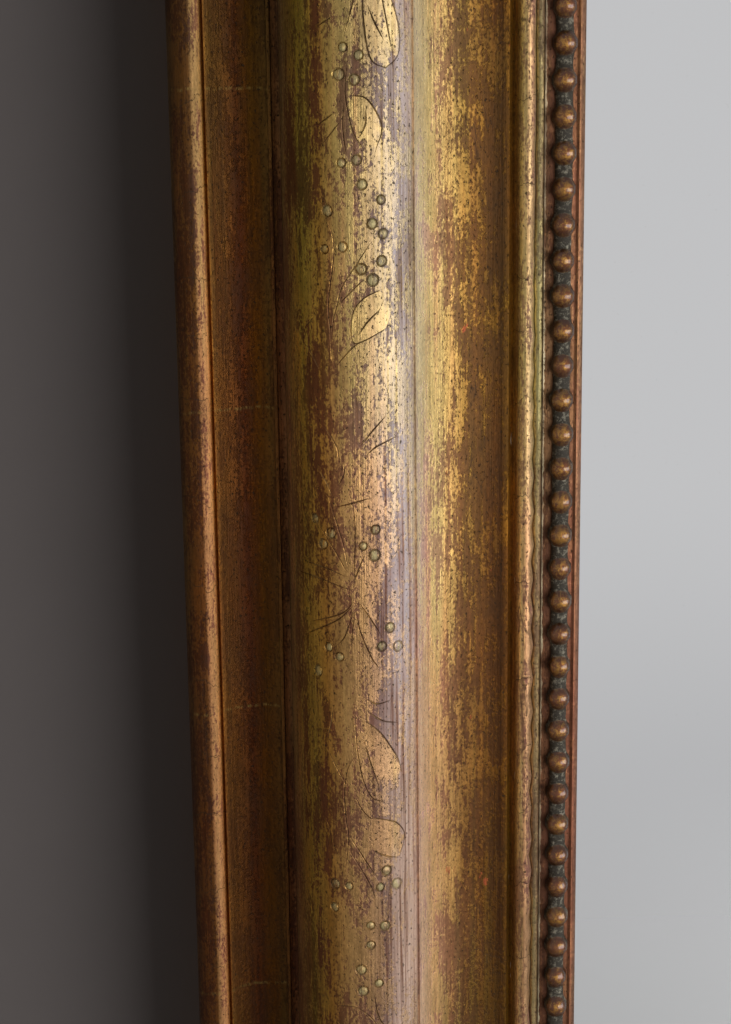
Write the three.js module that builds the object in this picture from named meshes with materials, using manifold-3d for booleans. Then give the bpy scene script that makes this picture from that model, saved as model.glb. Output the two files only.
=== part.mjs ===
// Gilt pier mirror with rounded top corners and a beaded sight edge.
// Millimetres, +Z up. The glass faces -Y and the back lies against the wall on the +Y side.
// The origin is the bottom centre of the whole object's box.
import * as THREE from "three";
import { mergeVertices } from "three/addons/utils/BufferGeometryUtils.js";
import Module from "manifold-3d";

const wasm = await Module();
wasm.setup();

// Overall size
const outerWidth = 760;
const outerHeight = 1600;
const cornerRadius = 150; // outside edge of the two top corners
const seam = 0.3; // hairline between pieces that meet
const clearance = 0.3; // round a piece that sits in a slot or a hole

// Section of the moulding: widths, from the outer edge inwards to the sight edge
const outerRibWidth = 8;
const outerQuirkWidth = 0.8;
const scotiaWidth = 14.8;
const filletWidth = 0.9;
const swellQuirkWidth = 2;
const swellOuterWidth = 16.5; // from the quirk up to the crest
const swellInnerWidth = 14.5; // from the crest to the scored line
const scoreWidth = 0.8;
const coveWidth = 23.4;
const creaseWidth = 1.7;
const innerRibWidth = 4.5;
const thinRibWidth = 2.3;
const beadSeatWidth = 7.7;
const sightLipWidth = 2.1;

// Section of the moulding: heights in front of the wall face
const crestHeight = 60;
const outerRibFoot = 36;
const outerRibRise = 4;
const outerQuirkDepth = 0.6;
const scotiaLip = 37.2;
const scotiaFoot = 33.8;
const scotiaHollow = 2.2; // how far the scotia dips under its own chord
const filletRise = 0.9;
const swellQuirkHeight = 33.4;
const scoreHeight = 53.5;
const scoreDepth = 1;
const coveFoot = 35.6;
const creaseDepth = 1.4;
const ribFoot = 35.4;
const innerRibRise = 3;
const thinRibRise = 1.1;
const beadSeatHeight = 34.6;
const sightLipRise = 0.7;
const sightEdgeDrop = 0.6;
const curveSteps = 3; // half the steps of each rounded stretch

// Rebates behind the sight edge, for the glass and the backboards
const glassRebateWidth = 10;
const glassLedgeHeight = 29;
const boardRebateWidth = 20;
const boardLedgeHeight = 18;

// Beading
const beadPitch = 8.65;
const beadWidth = 6.2;
const beadHeight = 4;
const neckWidth = 2.6;
const neckHeight = 1.6;
const beadTop = 0.62; // width of a bead's flat top, as a share of the bead's
const beadFromSight = 5.2; // centre of the beads to the sight edge

// Glass, backboards and battens
const glassThickness = 4;
const edgePlay = 0.5; // round the plate and the boards in their rebates
const boardThickness = 8;
const boardGap = 0.6;
const battenHeight = 48;
const battenThickness = 8;
const battenFromEnd = 260; // centre of a batten to the top or bottom edge

// Glazing blocks, which wedge the plate in its rebate
const blockLength = 45;
const blockWidth = 8;
const blockTaper = 3; // how much narrower the block is at the boards
const blocksOnStile = 3;
const blocksOnRail = 2;

// Loose tongues in the joints
const tongueThickness = 6;
const tongueWidth = 40;
const tongueLength = 44;
const tongueFromEdge = 42; // its middle, from the outer edge
const tongueHeight = 23; // its middle, in front of the wall face

// Nails
const nailShank = 2;
const nailHead = 4.5;
const nailHeadThickness = 1;
const boardNailLength = 22;
const battenNailLength = 14;
const battenNailFromEnd = 60;
const stileNailFromBatten = 60; // a stile's outer nails to the near edge of a batten
const railNailFromSeam = 60; // a rail's outer nails to the inner edge of their board

// Hangers: a strap with a rolled knuckle, and a D ring that turns in it
const hangerFromSide = 40;
const hangerFromTop = 210; // axis of the knuckle to the top edge
const strapWidth = 16;
const strapLength = 58;
const strapThickness = 1.5;
const knuckleFacets = 14;
const ringWire = 4; // diameter
const ringPlay = 0.35; // between the wire and the knuckle's bore
const ringHalfWidth = 12.5; // centre of the wire, from the ring's middle
const ringDrop = 19; // axis to the centre of the wire at the far end
const ringCorner = 3.4;
const ringJoint = 0.6; // between the wire's two ends, inside the knuckle
const ringSteps = 36;
const screwHead = 7;
const screwShank = 3.2;
const screwLength = 20;
const screwSlot = 0.9;
const screwSlotDepth = 0.6;
const screwFacets = 10;
const firstScrewDrop = 13; // below the knuckle's axis
const screwSpacing = 35;

// Worked out from the sizes above
const knuckleBore = ringWire / 2 + ringPlay;
const knuckleRadius = knuckleBore + strapThickness;
const wallY = crestHeight / 2 - knuckleRadius;
const halfWidth = outerWidth / 2;
const arcX = halfWidth - cornerRadius; // centres of the two top corners
const arcZ = outerHeight - cornerRadius;
const cornerSteps = 8;
const sides = { left: -1, right: 1 };

// The y of a point that stands a given height in front of the wall face.
const yAt = (height) => wallY - height;

// ---- materials ----------------------------------------------------------------------

const finish = (name, color, roughness, metalness) =>
  new THREE.MeshStandardMaterial({ name, color, roughness, metalness });

const gilding = finish("gilding", "#b18a4a", 0.42, 0.55);
const beadGilding = finish("bead_gilding", "#7c4a22", 0.4, 0.35);
const silvering = finish("silvering", "#c8ccd0", 0.05, 1);
const agedPine = finish("aged_pine", "#8a6440", 0.85, 0);
const oak = finish("oak", "#6f4e2f", 0.8, 0);
const iron = finish("iron", "#3b3530", 0.6, 0.8);

const mirror = new THREE.Group();

function add(name, geometry, material, parent = mirror) {
  const mesh = new THREE.Mesh(geometry, material);
  mesh.name = name;
  parent.add(mesh);
  return mesh;
}

// ---- solids -------------------------------------------------------------------------

// A solid of the geometry's triangles, without those that have no area.
function solidOf(geometry) {
  const bare = geometry.clone();
  bare.deleteAttribute("normal");
  bare.deleteAttribute("uv");
  const merged = mergeVertices(bare, 1e-4);
  const order = merged.index.array;
  const whole = [];
  for (let i = 0; i < order.length; i += 3) {
    const corners = order.slice(i, i + 3);
    if (new Set(corners).size === 3) whole.push(...corners);
  }
  const vertProperties = merged.attributes.position.array;
  const triVerts = new Uint32Array(whole);
  return new wasm.Manifold(new wasm.Mesh({ numProp: 3, vertProperties, triVerts }));
}

function geometryOf(solid) {
  const mesh = solid.getMesh();
  const geometry = new THREE.BufferGeometry();
  geometry.setAttribute("position", new THREE.BufferAttribute(mesh.vertProperties, 3));
  geometry.setIndex(new THREE.BufferAttribute(mesh.triVerts, 1));
  geometry.computeVertexNormals();
  return geometry;
}

function cut(geometry, tools) {
  return geometryOf(tools.reduce((rest, tool) => rest.subtract(solidOf(tool)), solidOf(geometry)));
}

function join(first, second) {
  return geometryOf(solidOf(first).add(solidOf(second)));
}

function blockAt(width, depth, height, x, y, z) {
  return new THREE.BoxGeometry(width, depth, height).translate(x, y, z);
}

// The same triangles, all turned round if together they enclose a negative volume.
function facingOut(points, index) {
  let volume = 0;
  for (let i = 0; i < index.length; i += 3) {
    const normal = new THREE.Vector3().crossVectors(points[index[i + 1]], points[index[i + 2]]);
    volume += points[index[i]].dot(normal);
  }
  return volume < 0 ? index.reverse() : index;
}

// A closed skin over rings of points, with a flat cap on the first and last. flat is the
// rings' common outline in its own plane, run clockwise, and shows how a cap is cut up.
function skin(rings, flat) {
  const count = flat.length;
  const last = (rings.length - 1) * count;
  const index = [];
  for (let start = 0; start < last; start += count) {
    for (let i = 0; i < count; i++) {
      const a = start + i;
      const b = start + ((i + 1) % count);
      index.push(a, b, b + count);
      index.push(a, b + count, a + count);
    }
  }
  for (const [a, b, c] of THREE.ShapeUtils.triangulateShape(flat.slice(), [])) {
    index.push(a, b, c);
    index.push(last + a, last + c, last + b);
  }
  const points = rings.flat();
  const geometry = new THREE.BufferGeometry().setFromPoints(points);
  geometry.setIndex(facingOut(points, index));
  geometry.computeVertexNormals();
  return geometry;
}

// ---- moulding -----------------------------------------------------------------------

// A hollow from the pen's place to (x, y), which dips by depth under the straight way.
function hollowTo(outline, x, y, depth) {
  const from = outline.currentPoint.clone();
  const way = new THREE.Vector2(x, y).sub(from);
  const radius = ((way.length() / 2) ** 2 + depth ** 2) / (2 * depth);
  const up = new THREE.Vector2(-way.y, way.x).normalize();
  const centre = from.clone().addScaledVector(way, 0.5).addScaledVector(up, radius - depth);
  const start = Math.atan2(from.y - centre.y, from.x - centre.x);
  const end = Math.atan2(y - centre.y, x - centre.x);
  outline.absarc(centre.x, centre.y, radius, start, end, false);
}

// The section, with x in from the outer edge and y in front of the wall face. It runs up
// the outer side, over the face, and back round the two rebates.
function mouldingSection() {
  const outline = new THREE.Shape();
  let x = 0;
  const line = (width, y) => {
    x += width;
    outline.lineTo(x, y);
  };
  const rib = (width, foot, rise) => {
    line(0, foot);
    outline.absellipse(x + width / 2, foot, width / 2, rise, Math.PI, 0, true);
    x += width;
  };
  outline.moveTo(0, 0);
  rib(outerRibWidth, outerRibFoot, outerRibRise);
  line(outerQuirkWidth / 2, outerRibFoot - outerQuirkDepth);
  line(outerQuirkWidth / 2, scotiaLip);
  x += scotiaWidth;
  hollowTo(outline, x, scotiaFoot, scotiaHollow);
  line(0, scotiaFoot + filletRise);
  line(filletWidth, scotiaFoot + filletRise);
  line(0, swellQuirkHeight);
  line(swellQuirkWidth, swellQuirkHeight);
  const swellRise = crestHeight - swellQuirkHeight;
  x += swellOuterWidth;
  outline.absellipse(x, swellQuirkHeight, swellOuterWidth, swellRise, Math.PI, Math.PI / 2, true);
  // the inner side of the swell leaves the crest level
  const fall = crestHeight - scoreHeight;
  const swellRadius = (swellInnerWidth ** 2 + fall ** 2) / (2 * fall);
  const swellTurn = Math.asin(swellInnerWidth / swellRadius);
  outline.absarc(x, crestHeight - swellRadius, swellRadius, Math.PI / 2, Math.PI / 2 - swellTurn, true);
  x += swellInnerWidth;
  line(scoreWidth / 2, scoreHeight - scoreDepth);
  line(scoreWidth / 2, scoreHeight - scoreDepth / 2);
  // the cove ends level at its foot
  const drop = scoreHeight - scoreDepth / 2 - coveFoot;
  const coveRadius = (coveWidth ** 2 + drop ** 2) / (2 * drop);
  const coveStart = Math.atan2(drop - coveRadius, -coveWidth);
  x += coveWidth;
  outline.absarc(x, coveFoot + coveRadius, coveRadius, coveStart, -Math.PI / 2, false);
  line(creaseWidth / 2, coveFoot - creaseDepth);
  line(creaseWidth / 2, ribFoot);
  rib(innerRibWidth, ribFoot, innerRibRise);
  rib(thinRibWidth, ribFoot, thinRibRise);
  line(0, beadSeatHeight);
  line(beadSeatWidth, beadSeatHeight);
  line(sightLipWidth / 3, beadSeatHeight + sightLipRise);
  line((2 * sightLipWidth) / 3, beadSeatHeight - sightEdgeDrop);
  line(0, glassLedgeHeight);
  line(-glassRebateWidth, glassLedgeHeight);
  line(0, boardLedgeHeight);
  line(glassRebateWidth - boardRebateWidth, boardLedgeHeight);
  line(0, 0);
  const points = outline.getPoints(curveSteps);
  const apart = (point, i) => point.distanceTo(points[(i + 1) % points.length]) > 1e-3;
  return { section: points.filter(apart), faceWidth: x + boardRebateWidth };
}

const { section, faceWidth } = mouldingSection();
const glassInset = faceWidth - glassRebateWidth; // the rebates' walls, from the outer edge
const boardInset = faceWidth - boardRebateWidth;

// Where a point of the section lies. A stile's place is a z and a rail's is an x, each
// worked out from the point itself where the end is mitred. A corner's place is its angle.
const onStile = (side, z) => (p) => new THREE.Vector3(side * (halfWidth - p.x), yAt(p.y), z(p));
const onBottom = (x) => (p) => new THREE.Vector3(x(p), yAt(p.y), p.x);
const onTop = (x) => (p) => new THREE.Vector3(x, yAt(p.y), outerHeight - p.x);
const onCorner = (side, angle) => (p) => {
  const radius = cornerRadius - p.x;
  const x = side * (arcX + radius * Math.cos(angle));
  return new THREE.Vector3(x, yAt(p.y), arcZ + radius * Math.sin(angle));
};

const moulding = (places) => skin(places.map((place) => section.map(place)), section);

// ---- tongues, nails and screws, and the holes that they need ---------------------------

// A tongue at [x, z, turn about Y], made larger all round by extra.
function tongueAt([x, z, turn], extra) {
  const size = [tongueWidth, tongueThickness, tongueLength].map((length) => length + 2 * extra);
  return new THREE.BoxGeometry(...size).rotateY(turn).translate(x, yAt(tongueHeight), z);
}

const tongues = {};
for (const [word, side] of Object.entries(sides)) {
  const x = side * (halfWidth - tongueFromEdge);
  tongues[`bottom_${word}_mitre_tongue`] = [x, tongueFromEdge, (side * Math.PI) / 4];
  tongues[`top_${word}_stile_tongue`] = [x, arcZ, 0];
  tongues[`top_${word}_rail_tongue`] = [side * arcX, outerHeight - tongueFromEdge, Math.PI / 2];
}

const slotFor = (name) => tongueAt(tongues[name], clearance);

// A cut nail driven towards -Y, with its head resting on y = 0.
function nail(length) {
  const shank = blockAt(nailShank, length, nailShank, 0, -length / 2, 0);
  return join(shank, blockAt(nailHead, nailHeadThickness, nailHead, 0, nailHeadThickness / 2, 0));
}

// The holes for such nails, which run out past the heads.
function nailHoles(places, start, backHeight, length) {
  const width = nailShank + 2 * clearance;
  const depth = length + clearance + nailHeadThickness;
  const y = yAt(backHeight) + nailHeadThickness - depth / 2;
  const names = Object.keys(places).filter((name) => name.startsWith(start));
  return names.map((name) => blockAt(width, depth, width, places[name][0], y, places[name][1]));
}

const boardBack = boardLedgeHeight - boardThickness;
const boardEdge = boardInset + edgePlay;
const boardSpan = (outerWidth - 2 * boardEdge - 2 * boardGap) / 3;
const battenBack = boardBack - battenThickness;
const battens = { lower_batten: battenFromEnd, upper_batten: outerHeight - battenFromEnd };

// The nails that hold the boards, each as [x, z]: three in a stile, one a board in a rail.
const boardNails = {};
const nailInset = (boardInset + glassInset) / 2;
const nailFromBatten = battenHeight / 2 + stileNailFromBatten;
const stileNailZ = [
  battens.lower_batten + nailFromBatten,
  outerHeight / 2,
  battens.upper_batten - nailFromBatten,
];
const railNailX = boardSpan / 2 + boardGap + railNailFromSeam;
for (const [word, side] of Object.entries(sides)) {
  stileNailZ.forEach((z, i) => {
    boardNails[`${word}_board_nail_${i + 1}`] = [side * (halfWidth - nailInset), z];
  });
}
for (const [word, z] of [["bottom", nailInset], ["top", outerHeight - nailInset]]) {
  [-railNailX, 0, railNailX].forEach((x, i) => {
    boardNails[`${word}_board_nail_${i + 1}`] = [x, z];
  });
}

// The nails that hold each batten to the boards, one a board.
const battenNails = {};
const battenNailX = halfWidth - boardEdge - battenNailFromEnd;
for (const [name, z] of Object.entries(battens)) {
  [-battenNailX, 0, battenNailX].forEach((x, i) => {
    battenNails[`${name}_nail_${i + 1}`] = [x, z];
  });
}

const boardHoles = (start) => nailHoles(boardNails, start, boardBack, boardNailLength);
const battenHoles = (start) => nailHoles(battenNails, start, battenBack, battenNailLength);

const hangerX = halfWidth - hangerFromSide;
const hangerZ = outerHeight - hangerFromTop;
const screwDrops = { upper: firstScrewDrop, lower: firstScrewDrop + screwSpacing };

// A countersunk screw driven towards -Y, with the flat of its head at y = 0.
function screw() {
  const profile = [
    new THREE.Vector2(0, -screwLength),
    new THREE.Vector2(screwShank / 2, screwShank - screwLength),
    new THREE.Vector2(screwShank / 2, -strapThickness),
    new THREE.Vector2(screwHead / 2, 0),
    new THREE.Vector2(0, 0),
  ];
  return new THREE.LatheGeometry(profile, screwFacets);
}

// The hole for such a screw, which runs out past its head.
function screwHole() {
  const shank = screwShank / 2 + clearance;
  const head = screwHead / 2 + clearance;
  const profile = [
    new THREE.Vector2(0, -screwLength - clearance),
    new THREE.Vector2(shank, screwShank - screwLength),
    new THREE.Vector2(shank, -strapThickness - clearance),
    new THREE.Vector2(head, -clearance / 2),
    new THREE.Vector2(head, clearance),
    new THREE.Vector2(0, clearance),
  ];
  return new THREE.LatheGeometry(profile, screwFacets);
}

// ---- frame members and beading -------------------------------------------------------

function addFrame() {
  for (const [word, side] of Object.entries(sides)) {
    const screwHoles = Object.values(screwDrops).map((drop) =>
      screwHole().translate(side * hangerX, wallY + strapThickness, hangerZ - drop));
    const mitred = onStile(side, (p) => p.x + seam);
    const square = onStile(side, () => arcZ - seam);
    const stileSlots = [slotFor(`bottom_${word}_mitre_tongue`), slotFor(`top_${word}_stile_tongue`)];
    const stileHoles = [...stileSlots, ...boardHoles(word), ...screwHoles];
    add(`${word}_stile`, cut(moulding([mitred, square]), stileHoles), gilding);
    const angles = Array.from({ length: cornerSteps + 1 }, (_, i) => (i * Math.PI) / 2 / cornerSteps);
    const corner = moulding(angles.map((angle) => onCorner(side, angle)));
    const cornerSlots = [slotFor(`top_${word}_stile_tongue`), slotFor(`top_${word}_rail_tongue`)];
    add(`top_${word}_corner`, cut(corner, cornerSlots), gilding);
  }
  const railEnds = Object.values(sides);
  const bottom = moulding(railEnds.map((side) => onBottom((p) => side * (halfWidth - p.x - seam))));
  const bottomSlots = [slotFor("bottom_left_mitre_tongue"), slotFor("bottom_right_mitre_tongue")];
  add("bottom_rail", cut(bottom, [...bottomSlots, ...boardHoles("bottom")]), gilding);
  const top = moulding(railEnds.map((side) => onTop(side * (arcX - seam))));
  const topSlots = [slotFor("top_left_rail_tongue"), slotFor("top_right_rail_tongue")];
  add("top_rail", cut(top, [...topSlots, ...boardHoles("top")]), gilding);
  for (const [name, place] of Object.entries(tongues)) add(name, tongueAt(place, 0), oak);
}

const beadLine = faceWidth - beadFromSight; // the beads' centres, from the outer edge

// One length of beading, whose outline swells from a neck to a bead and back. placeAt
// gives where the outline lies at a distance along the run.
function beading(length, placeAt) {
  const beads = Math.round(length / beadPitch);
  const across = (width, height) => [[-1, 0], [-beadTop, 1], [beadTop, 1], [1, 0]]
    .map(([u, h]) => new THREE.Vector2(beadLine + (u * width) / 2, beadSeatHeight + h * height));
  const neck = across(neckWidth, neckHeight);
  const bead = across(beadWidth, beadHeight);
  const rings = [];
  for (let i = 0; i <= 2 * beads; i++) {
    const place = placeAt((length * i) / (2 * beads));
    rings.push((i % 2 ? bead : neck).map(place));
  }
  return skin(rings, bead);
}

// The bottom run has a bead at each square corner, and the stiles' runs start above it.
function addBeading() {
  const stileStart = beadLine + beadPitch / 2 + seam;
  const stileRun = arcZ - seam - stileStart;
  const cornerRadiusAtBeads = cornerRadius - beadLine;
  const cornerRun = (cornerRadiusAtBeads * Math.PI) / 2;
  for (const [word, side] of Object.entries(sides)) {
    const up = (s) => onStile(side, () => stileStart + s);
    add(`${word}_beading`, beading(stileRun, up), beadGilding);
    const round = (s) => onCorner(side, s / cornerRadiusAtBeads);
    add(`top_${word}_corner_beading`, beading(cornerRun, round), beadGilding);
  }
  const bottomRun = 2 * (halfWidth - beadLine) + beadPitch;
  add("bottom_beading", beading(bottomRun, (s) => onBottom(() => s - bottomRun / 2)), beadGilding);
  const topRun = 2 * (arcX - seam);
  add("top_beading", beading(topRun, (s) => onTop(s - topRun / 2)), beadGilding);
}

// ---- glass, blocks, boards and battens -------------------------------------------------

// A flat plate between two x values. Its edge lies a given distance in from the frame's
// outer edge, round the top corners too, and its back face stands at backHeight.
function plate(inset, thickness, backHeight, left, right) {
  const high = outerHeight - inset;
  const radius = cornerRadius - inset;
  const outline = new THREE.Shape();
  outline.moveTo(left, inset);
  outline.lineTo(right, inset);
  if (right > arcX) outline.absarc(arcX, arcZ, radius, 0, Math.PI / 2, false);
  else outline.lineTo(right, high);
  if (left < -arcX) outline.absarc(-arcX, arcZ, radius, Math.PI / 2, Math.PI, false);
  else outline.lineTo(left, high);
  const options = { depth: thickness, bevelEnabled: false, curveSegments: cornerSteps / 2 };
  const flat = new THREE.ExtrudeGeometry(outline, options).rotateX(Math.PI / 2);
  return flat.translate(0, yAt(backHeight), 0);
}

function addGlass() {
  const inset = glassInset + edgePlay;
  const reach = halfWidth - inset;
  const back = glassLedgeHeight - glassThickness;
  add("mirror_plate", plate(inset, glassThickness, back, -reach, reach), silvering);
}

// A block lying along X with its straight side down, tapered from the glass to the boards.
function glazingBlock() {
  const thickness = glassLedgeHeight - glassThickness - boardLedgeHeight - clearance;
  const outline = new THREE.Shape();
  outline.moveTo(0, 0);
  outline.lineTo(thickness, 0);
  outline.lineTo(thickness, blockWidth - blockTaper);
  outline.lineTo(0, blockWidth);
  const block = new THREE.ExtrudeGeometry(outline, { depth: blockLength, bevelEnabled: false });
  block.translate(0, 0, -blockLength / 2);
  const across = new THREE.Vector3(0, 1, 0);
  const up = new THREE.Vector3(0, 0, 1);
  const along = new THREE.Vector3(1, 0, 0);
  return block.applyMatrix4(new THREE.Matrix4().makeBasis(across, up, along));
}

function addBlocks() {
  const rebate = glassInset + clearance;
  const evenly = (count, low, high) =>
    Array.from({ length: count }, (_, i) => low + ((i + 0.5) * (high - low)) / count);
  const put = (name, x, z, turn) => {
    const block = add(name, glazingBlock(), agedPine);
    block.position.set(x, yAt(glassLedgeHeight - glassThickness), z);
    block.rotation.y = turn;
  };
  for (const [word, side] of Object.entries(sides)) {
    evenly(blocksOnStile, glassInset, arcZ).forEach((z, i) => {
      put(`${word}_glazing_block_${i + 1}`, side * (halfWidth - rebate), z, (-side * Math.PI) / 2);
    });
  }
  const bottomReach = halfWidth - glassInset;
  evenly(blocksOnRail, -bottomReach, bottomReach).forEach((x, i) => {
    put(`bottom_glazing_block_${i + 1}`, x, rebate, 0);
  });
  evenly(blocksOnRail, -arcX, arcX).forEach((x, i) => {
    put(`top_glazing_block_${i + 1}`, x, outerHeight - rebate, Math.PI);
  });
}

function addBack() {
  ["left", "middle", "right"].forEach((word, i) => {
    const left = -halfWidth + boardEdge + i * (boardSpan + boardGap);
    const board = plate(boardEdge, boardThickness, boardBack, left, left + boardSpan);
    add(`${word}_backboard`, cut(board, [...boardHoles(""), ...battenHoles("")]), agedPine);
  });
  const battenLength = outerWidth - 2 * boardEdge;
  for (const [name, z] of Object.entries(battens)) {
    const y = yAt(battenBack + battenThickness / 2);
    const batten = blockAt(battenLength, battenThickness, battenHeight, 0, y, z);
    add(name, cut(batten, battenHoles(name)), agedPine);
  }
  for (const [name, [x, z]] of Object.entries(battenNails)) {
    add(name, nail(battenNailLength), iron).position.set(x, yAt(battenBack), z);
  }
  for (const [name, [x, z]] of Object.entries(boardNails)) {
    add(name, nail(boardNailLength), iron).position.set(x, yAt(boardBack), z);
  }
}

// ---- hangers ---------------------------------------------------------------------------

// A faceted roll along X. Its facets are drawn round its circle, so that one lies flat on
// the frame.
function roll(radius, length) {
  const corner = radius / Math.cos(Math.PI / knuckleFacets);
  return new THREE.CylinderGeometry(corner, corner, length, knuckleFacets).rotateZ(Math.PI / 2);
}

// The strap hangs down from its knuckle, whose bore runs along X through the origin.
function strap() {
  const leafY = strapThickness / 2 - knuckleRadius;
  const leaf = blockAt(strapWidth, strapThickness, strapLength, 0, leafY, -strapLength / 2);
  const holes = Object.values(screwDrops).map((drop) =>
    screwHole().translate(0, strapThickness - knuckleRadius, -drop));
  return cut(join(roll(knuckleRadius, strapWidth), leaf), [roll(knuckleBore, 2 * strapWidth), ...holes]);
}

// A D of bent wire that hangs down from its straight bar, which lies along X through the
// origin. The wire's two ends meet in the middle of the bar.
function ring() {
  const at = (x, z) => new THREE.Vector3(x, 0, z);
  const path = new THREE.CurvePath();
  const w = ringHalfWidth;
  const c = ringCorner;
  const handle = ringCorner + ((ringDrop - ringCorner) * 4) / 3;
  path.add(new THREE.LineCurve3(at(ringJoint / 2, 0), at(w - c, 0)));
  path.add(new THREE.QuadraticBezierCurve3(at(w - c, 0), at(w, 0), at(w, -c)));
  path.add(new THREE.CubicBezierCurve3(at(w, -c), at(w, -handle), at(-w, -handle), at(-w, -c)));
  path.add(new THREE.QuadraticBezierCurve3(at(-w, -c), at(-w, 0), at(c - w, 0)));
  path.add(new THREE.LineCurve3(at(c - w, 0), at(-ringJoint / 2, 0)));
  const wire = new THREE.Shape().absarc(0, 0, ringWire / 2, 0, 2 * Math.PI, false);
  return new THREE.ExtrudeGeometry(wire, { steps: ringSteps, extrudePath: path, curveSegments: 4 });
}

function addHangers() {
  const slot = blockAt(2 * screwHead, 2 * screwSlotDepth, screwSlot, 0, 0, 0);
  for (const [word, side] of Object.entries(sides)) {
    const hanger = new THREE.Group();
    hanger.position.set(side * hangerX, wallY + knuckleRadius, hangerZ);
    mirror.add(hanger);
    add(`${word}_hanger_strap`, strap(), iron, hanger);
    add(`${word}_hanger_ring`, ring(), iron, hanger);
    for (const [place, drop] of Object.entries(screwDrops)) {
      const mesh = add(`${word}_hanger_${place}_screw`, cut(screw(), [slot]), iron, hanger);
      mesh.position.set(0, strapThickness - knuckleRadius, -drop);
    }
  }
}

addFrame();
addBeading();
addGlass();
addBlocks();
addBack();
addHangers();

export default mirror;
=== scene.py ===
from math import atan2, cos, pi, radians, sin

import bmesh
import bpy
import numpy as np
from mathutils import Matrix, Vector
from mathutils.geometry import delaunay_2d_cdt


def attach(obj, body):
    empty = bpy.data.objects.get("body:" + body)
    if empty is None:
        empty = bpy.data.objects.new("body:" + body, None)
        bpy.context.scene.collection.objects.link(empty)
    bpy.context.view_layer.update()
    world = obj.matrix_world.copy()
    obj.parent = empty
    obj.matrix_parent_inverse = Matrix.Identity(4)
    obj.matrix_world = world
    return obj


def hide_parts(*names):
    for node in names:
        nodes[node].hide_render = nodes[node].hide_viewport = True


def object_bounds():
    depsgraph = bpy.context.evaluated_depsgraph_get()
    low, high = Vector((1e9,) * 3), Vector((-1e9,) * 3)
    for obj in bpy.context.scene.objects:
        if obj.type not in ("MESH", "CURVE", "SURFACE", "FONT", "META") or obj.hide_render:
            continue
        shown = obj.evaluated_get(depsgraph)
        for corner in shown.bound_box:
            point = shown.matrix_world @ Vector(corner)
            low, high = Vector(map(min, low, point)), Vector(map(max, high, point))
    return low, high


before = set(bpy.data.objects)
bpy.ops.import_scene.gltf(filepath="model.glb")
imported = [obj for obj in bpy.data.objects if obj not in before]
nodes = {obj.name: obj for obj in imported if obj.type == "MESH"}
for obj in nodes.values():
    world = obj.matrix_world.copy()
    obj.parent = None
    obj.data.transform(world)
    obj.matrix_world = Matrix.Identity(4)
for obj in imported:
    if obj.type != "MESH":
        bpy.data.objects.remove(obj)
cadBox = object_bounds()
mm = 0.001
print("frame loaded:", len(nodes), "nodes")

camera = {
    "lens": 70,
    "sensor": 36,
    "pitch": 13.2,  # degrees below level
    "roll": 0.726,
    "distance": 0.5,
    "aim": (-0.3341, -0.00885, 0.7465),
}


def addCamera():
    pitch, roll = radians(camera["pitch"]), radians(camera["roll"])
    forward = Vector((0, cos(pitch), -sin(pitch)))
    level = Vector((1, 0, 0))
    upright = level.cross(forward)
    right = cos(roll) * level - sin(roll) * upright
    up = cos(roll) * upright + sin(roll) * level
    data = bpy.data.cameras.new("camera")
    data.lens = camera["lens"]
    data.sensor_width = camera["sensor"]
    thing = addObject("camera", data)
    thing.rotation_euler = Matrix((right, up, -forward)).transposed().to_euler()
    thing.location = Vector(camera["aim"]) - camera["distance"] * forward
    bpy.context.scene.camera = thing


# Links or sets each of a node's sockets; a colour of three numbers is made opaque.
def feed(tree, item, inputs):
    for key, value in inputs.items():
        socket = item.inputs[key]
        if isinstance(value, bpy.types.NodeSocket):
            tree.links.new(value, socket)
        elif socket.type == "RGBA" and len(value) == 3:
            socket.default_value = (*value, 1)
        else:
            socket.default_value = value
    return item


def put(tree, kind, inputs=None, **settings):
    item = tree.nodes.new("ShaderNode" + kind)
    for key, value in settings.items():
        setattr(item, key, value)
    return feed(tree, item, inputs or {})


def calc(tree, operation, first, second=0.0, third=0.0, clamp=False):
    inputs = {0: first, 1: second, 2: third}
    return put(tree, "Math", inputs, operation=operation, use_clamp=clamp).outputs[0]


# A value times a share, plus a base.
def scaled(tree, value, share, base=0.0, clamp=False):
    return calc(tree, "MULTIPLY_ADD", value, share, base, clamp)


def productOf(tree, first, *others):
    for other in others:
        first = calc(tree, "MULTIPLY", first, other)
    return first


# A base plus each value times its share.
def sumOf(tree, base, parts):
    for value, share in parts:
        base = scaled(tree, value, share, base)
    return base


def inverse(tree, value):
    return calc(tree, "SUBTRACT", 1.0, value)


def blendOf(tree, factor, first, second, kind="MIX"):
    mixer = put(tree, "Mix", {0: factor, 6: first, 7: second}, data_type="RGBA", blend_type=kind)
    return mixer.outputs[2]


def noiseOf(tree, vector, scale, detail=3.0, roughness=0.55, distortion=0.0):
    inputs = {"Vector": vector, "Scale": scale, "Detail": detail, "Roughness": roughness,
              "Distortion": distortion}
    return put(tree, "TexNoise", inputs).outputs["Fac"]


# Noise that turns so many times per metre along a run and across it.
def runNoise(tree, run, along, across, detail=3.0, roughness=0.55, distortion=0.0):
    place = put(tree, "Mapping", {"Vector": run, "Scale": (along, across, 1)}).outputs[0]
    return noiseOf(tree, place, 1, detail, roughness, distortion)


# A smooth step of value from 0 at low to 1 at high.
def stepOf(tree, value, low, high):
    inputs = {"Value": value, "From Min": low, "From Max": high}
    return put(tree, "MapRange", inputs, interpolation_type="SMOOTHSTEP").outputs["Result"]


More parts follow.
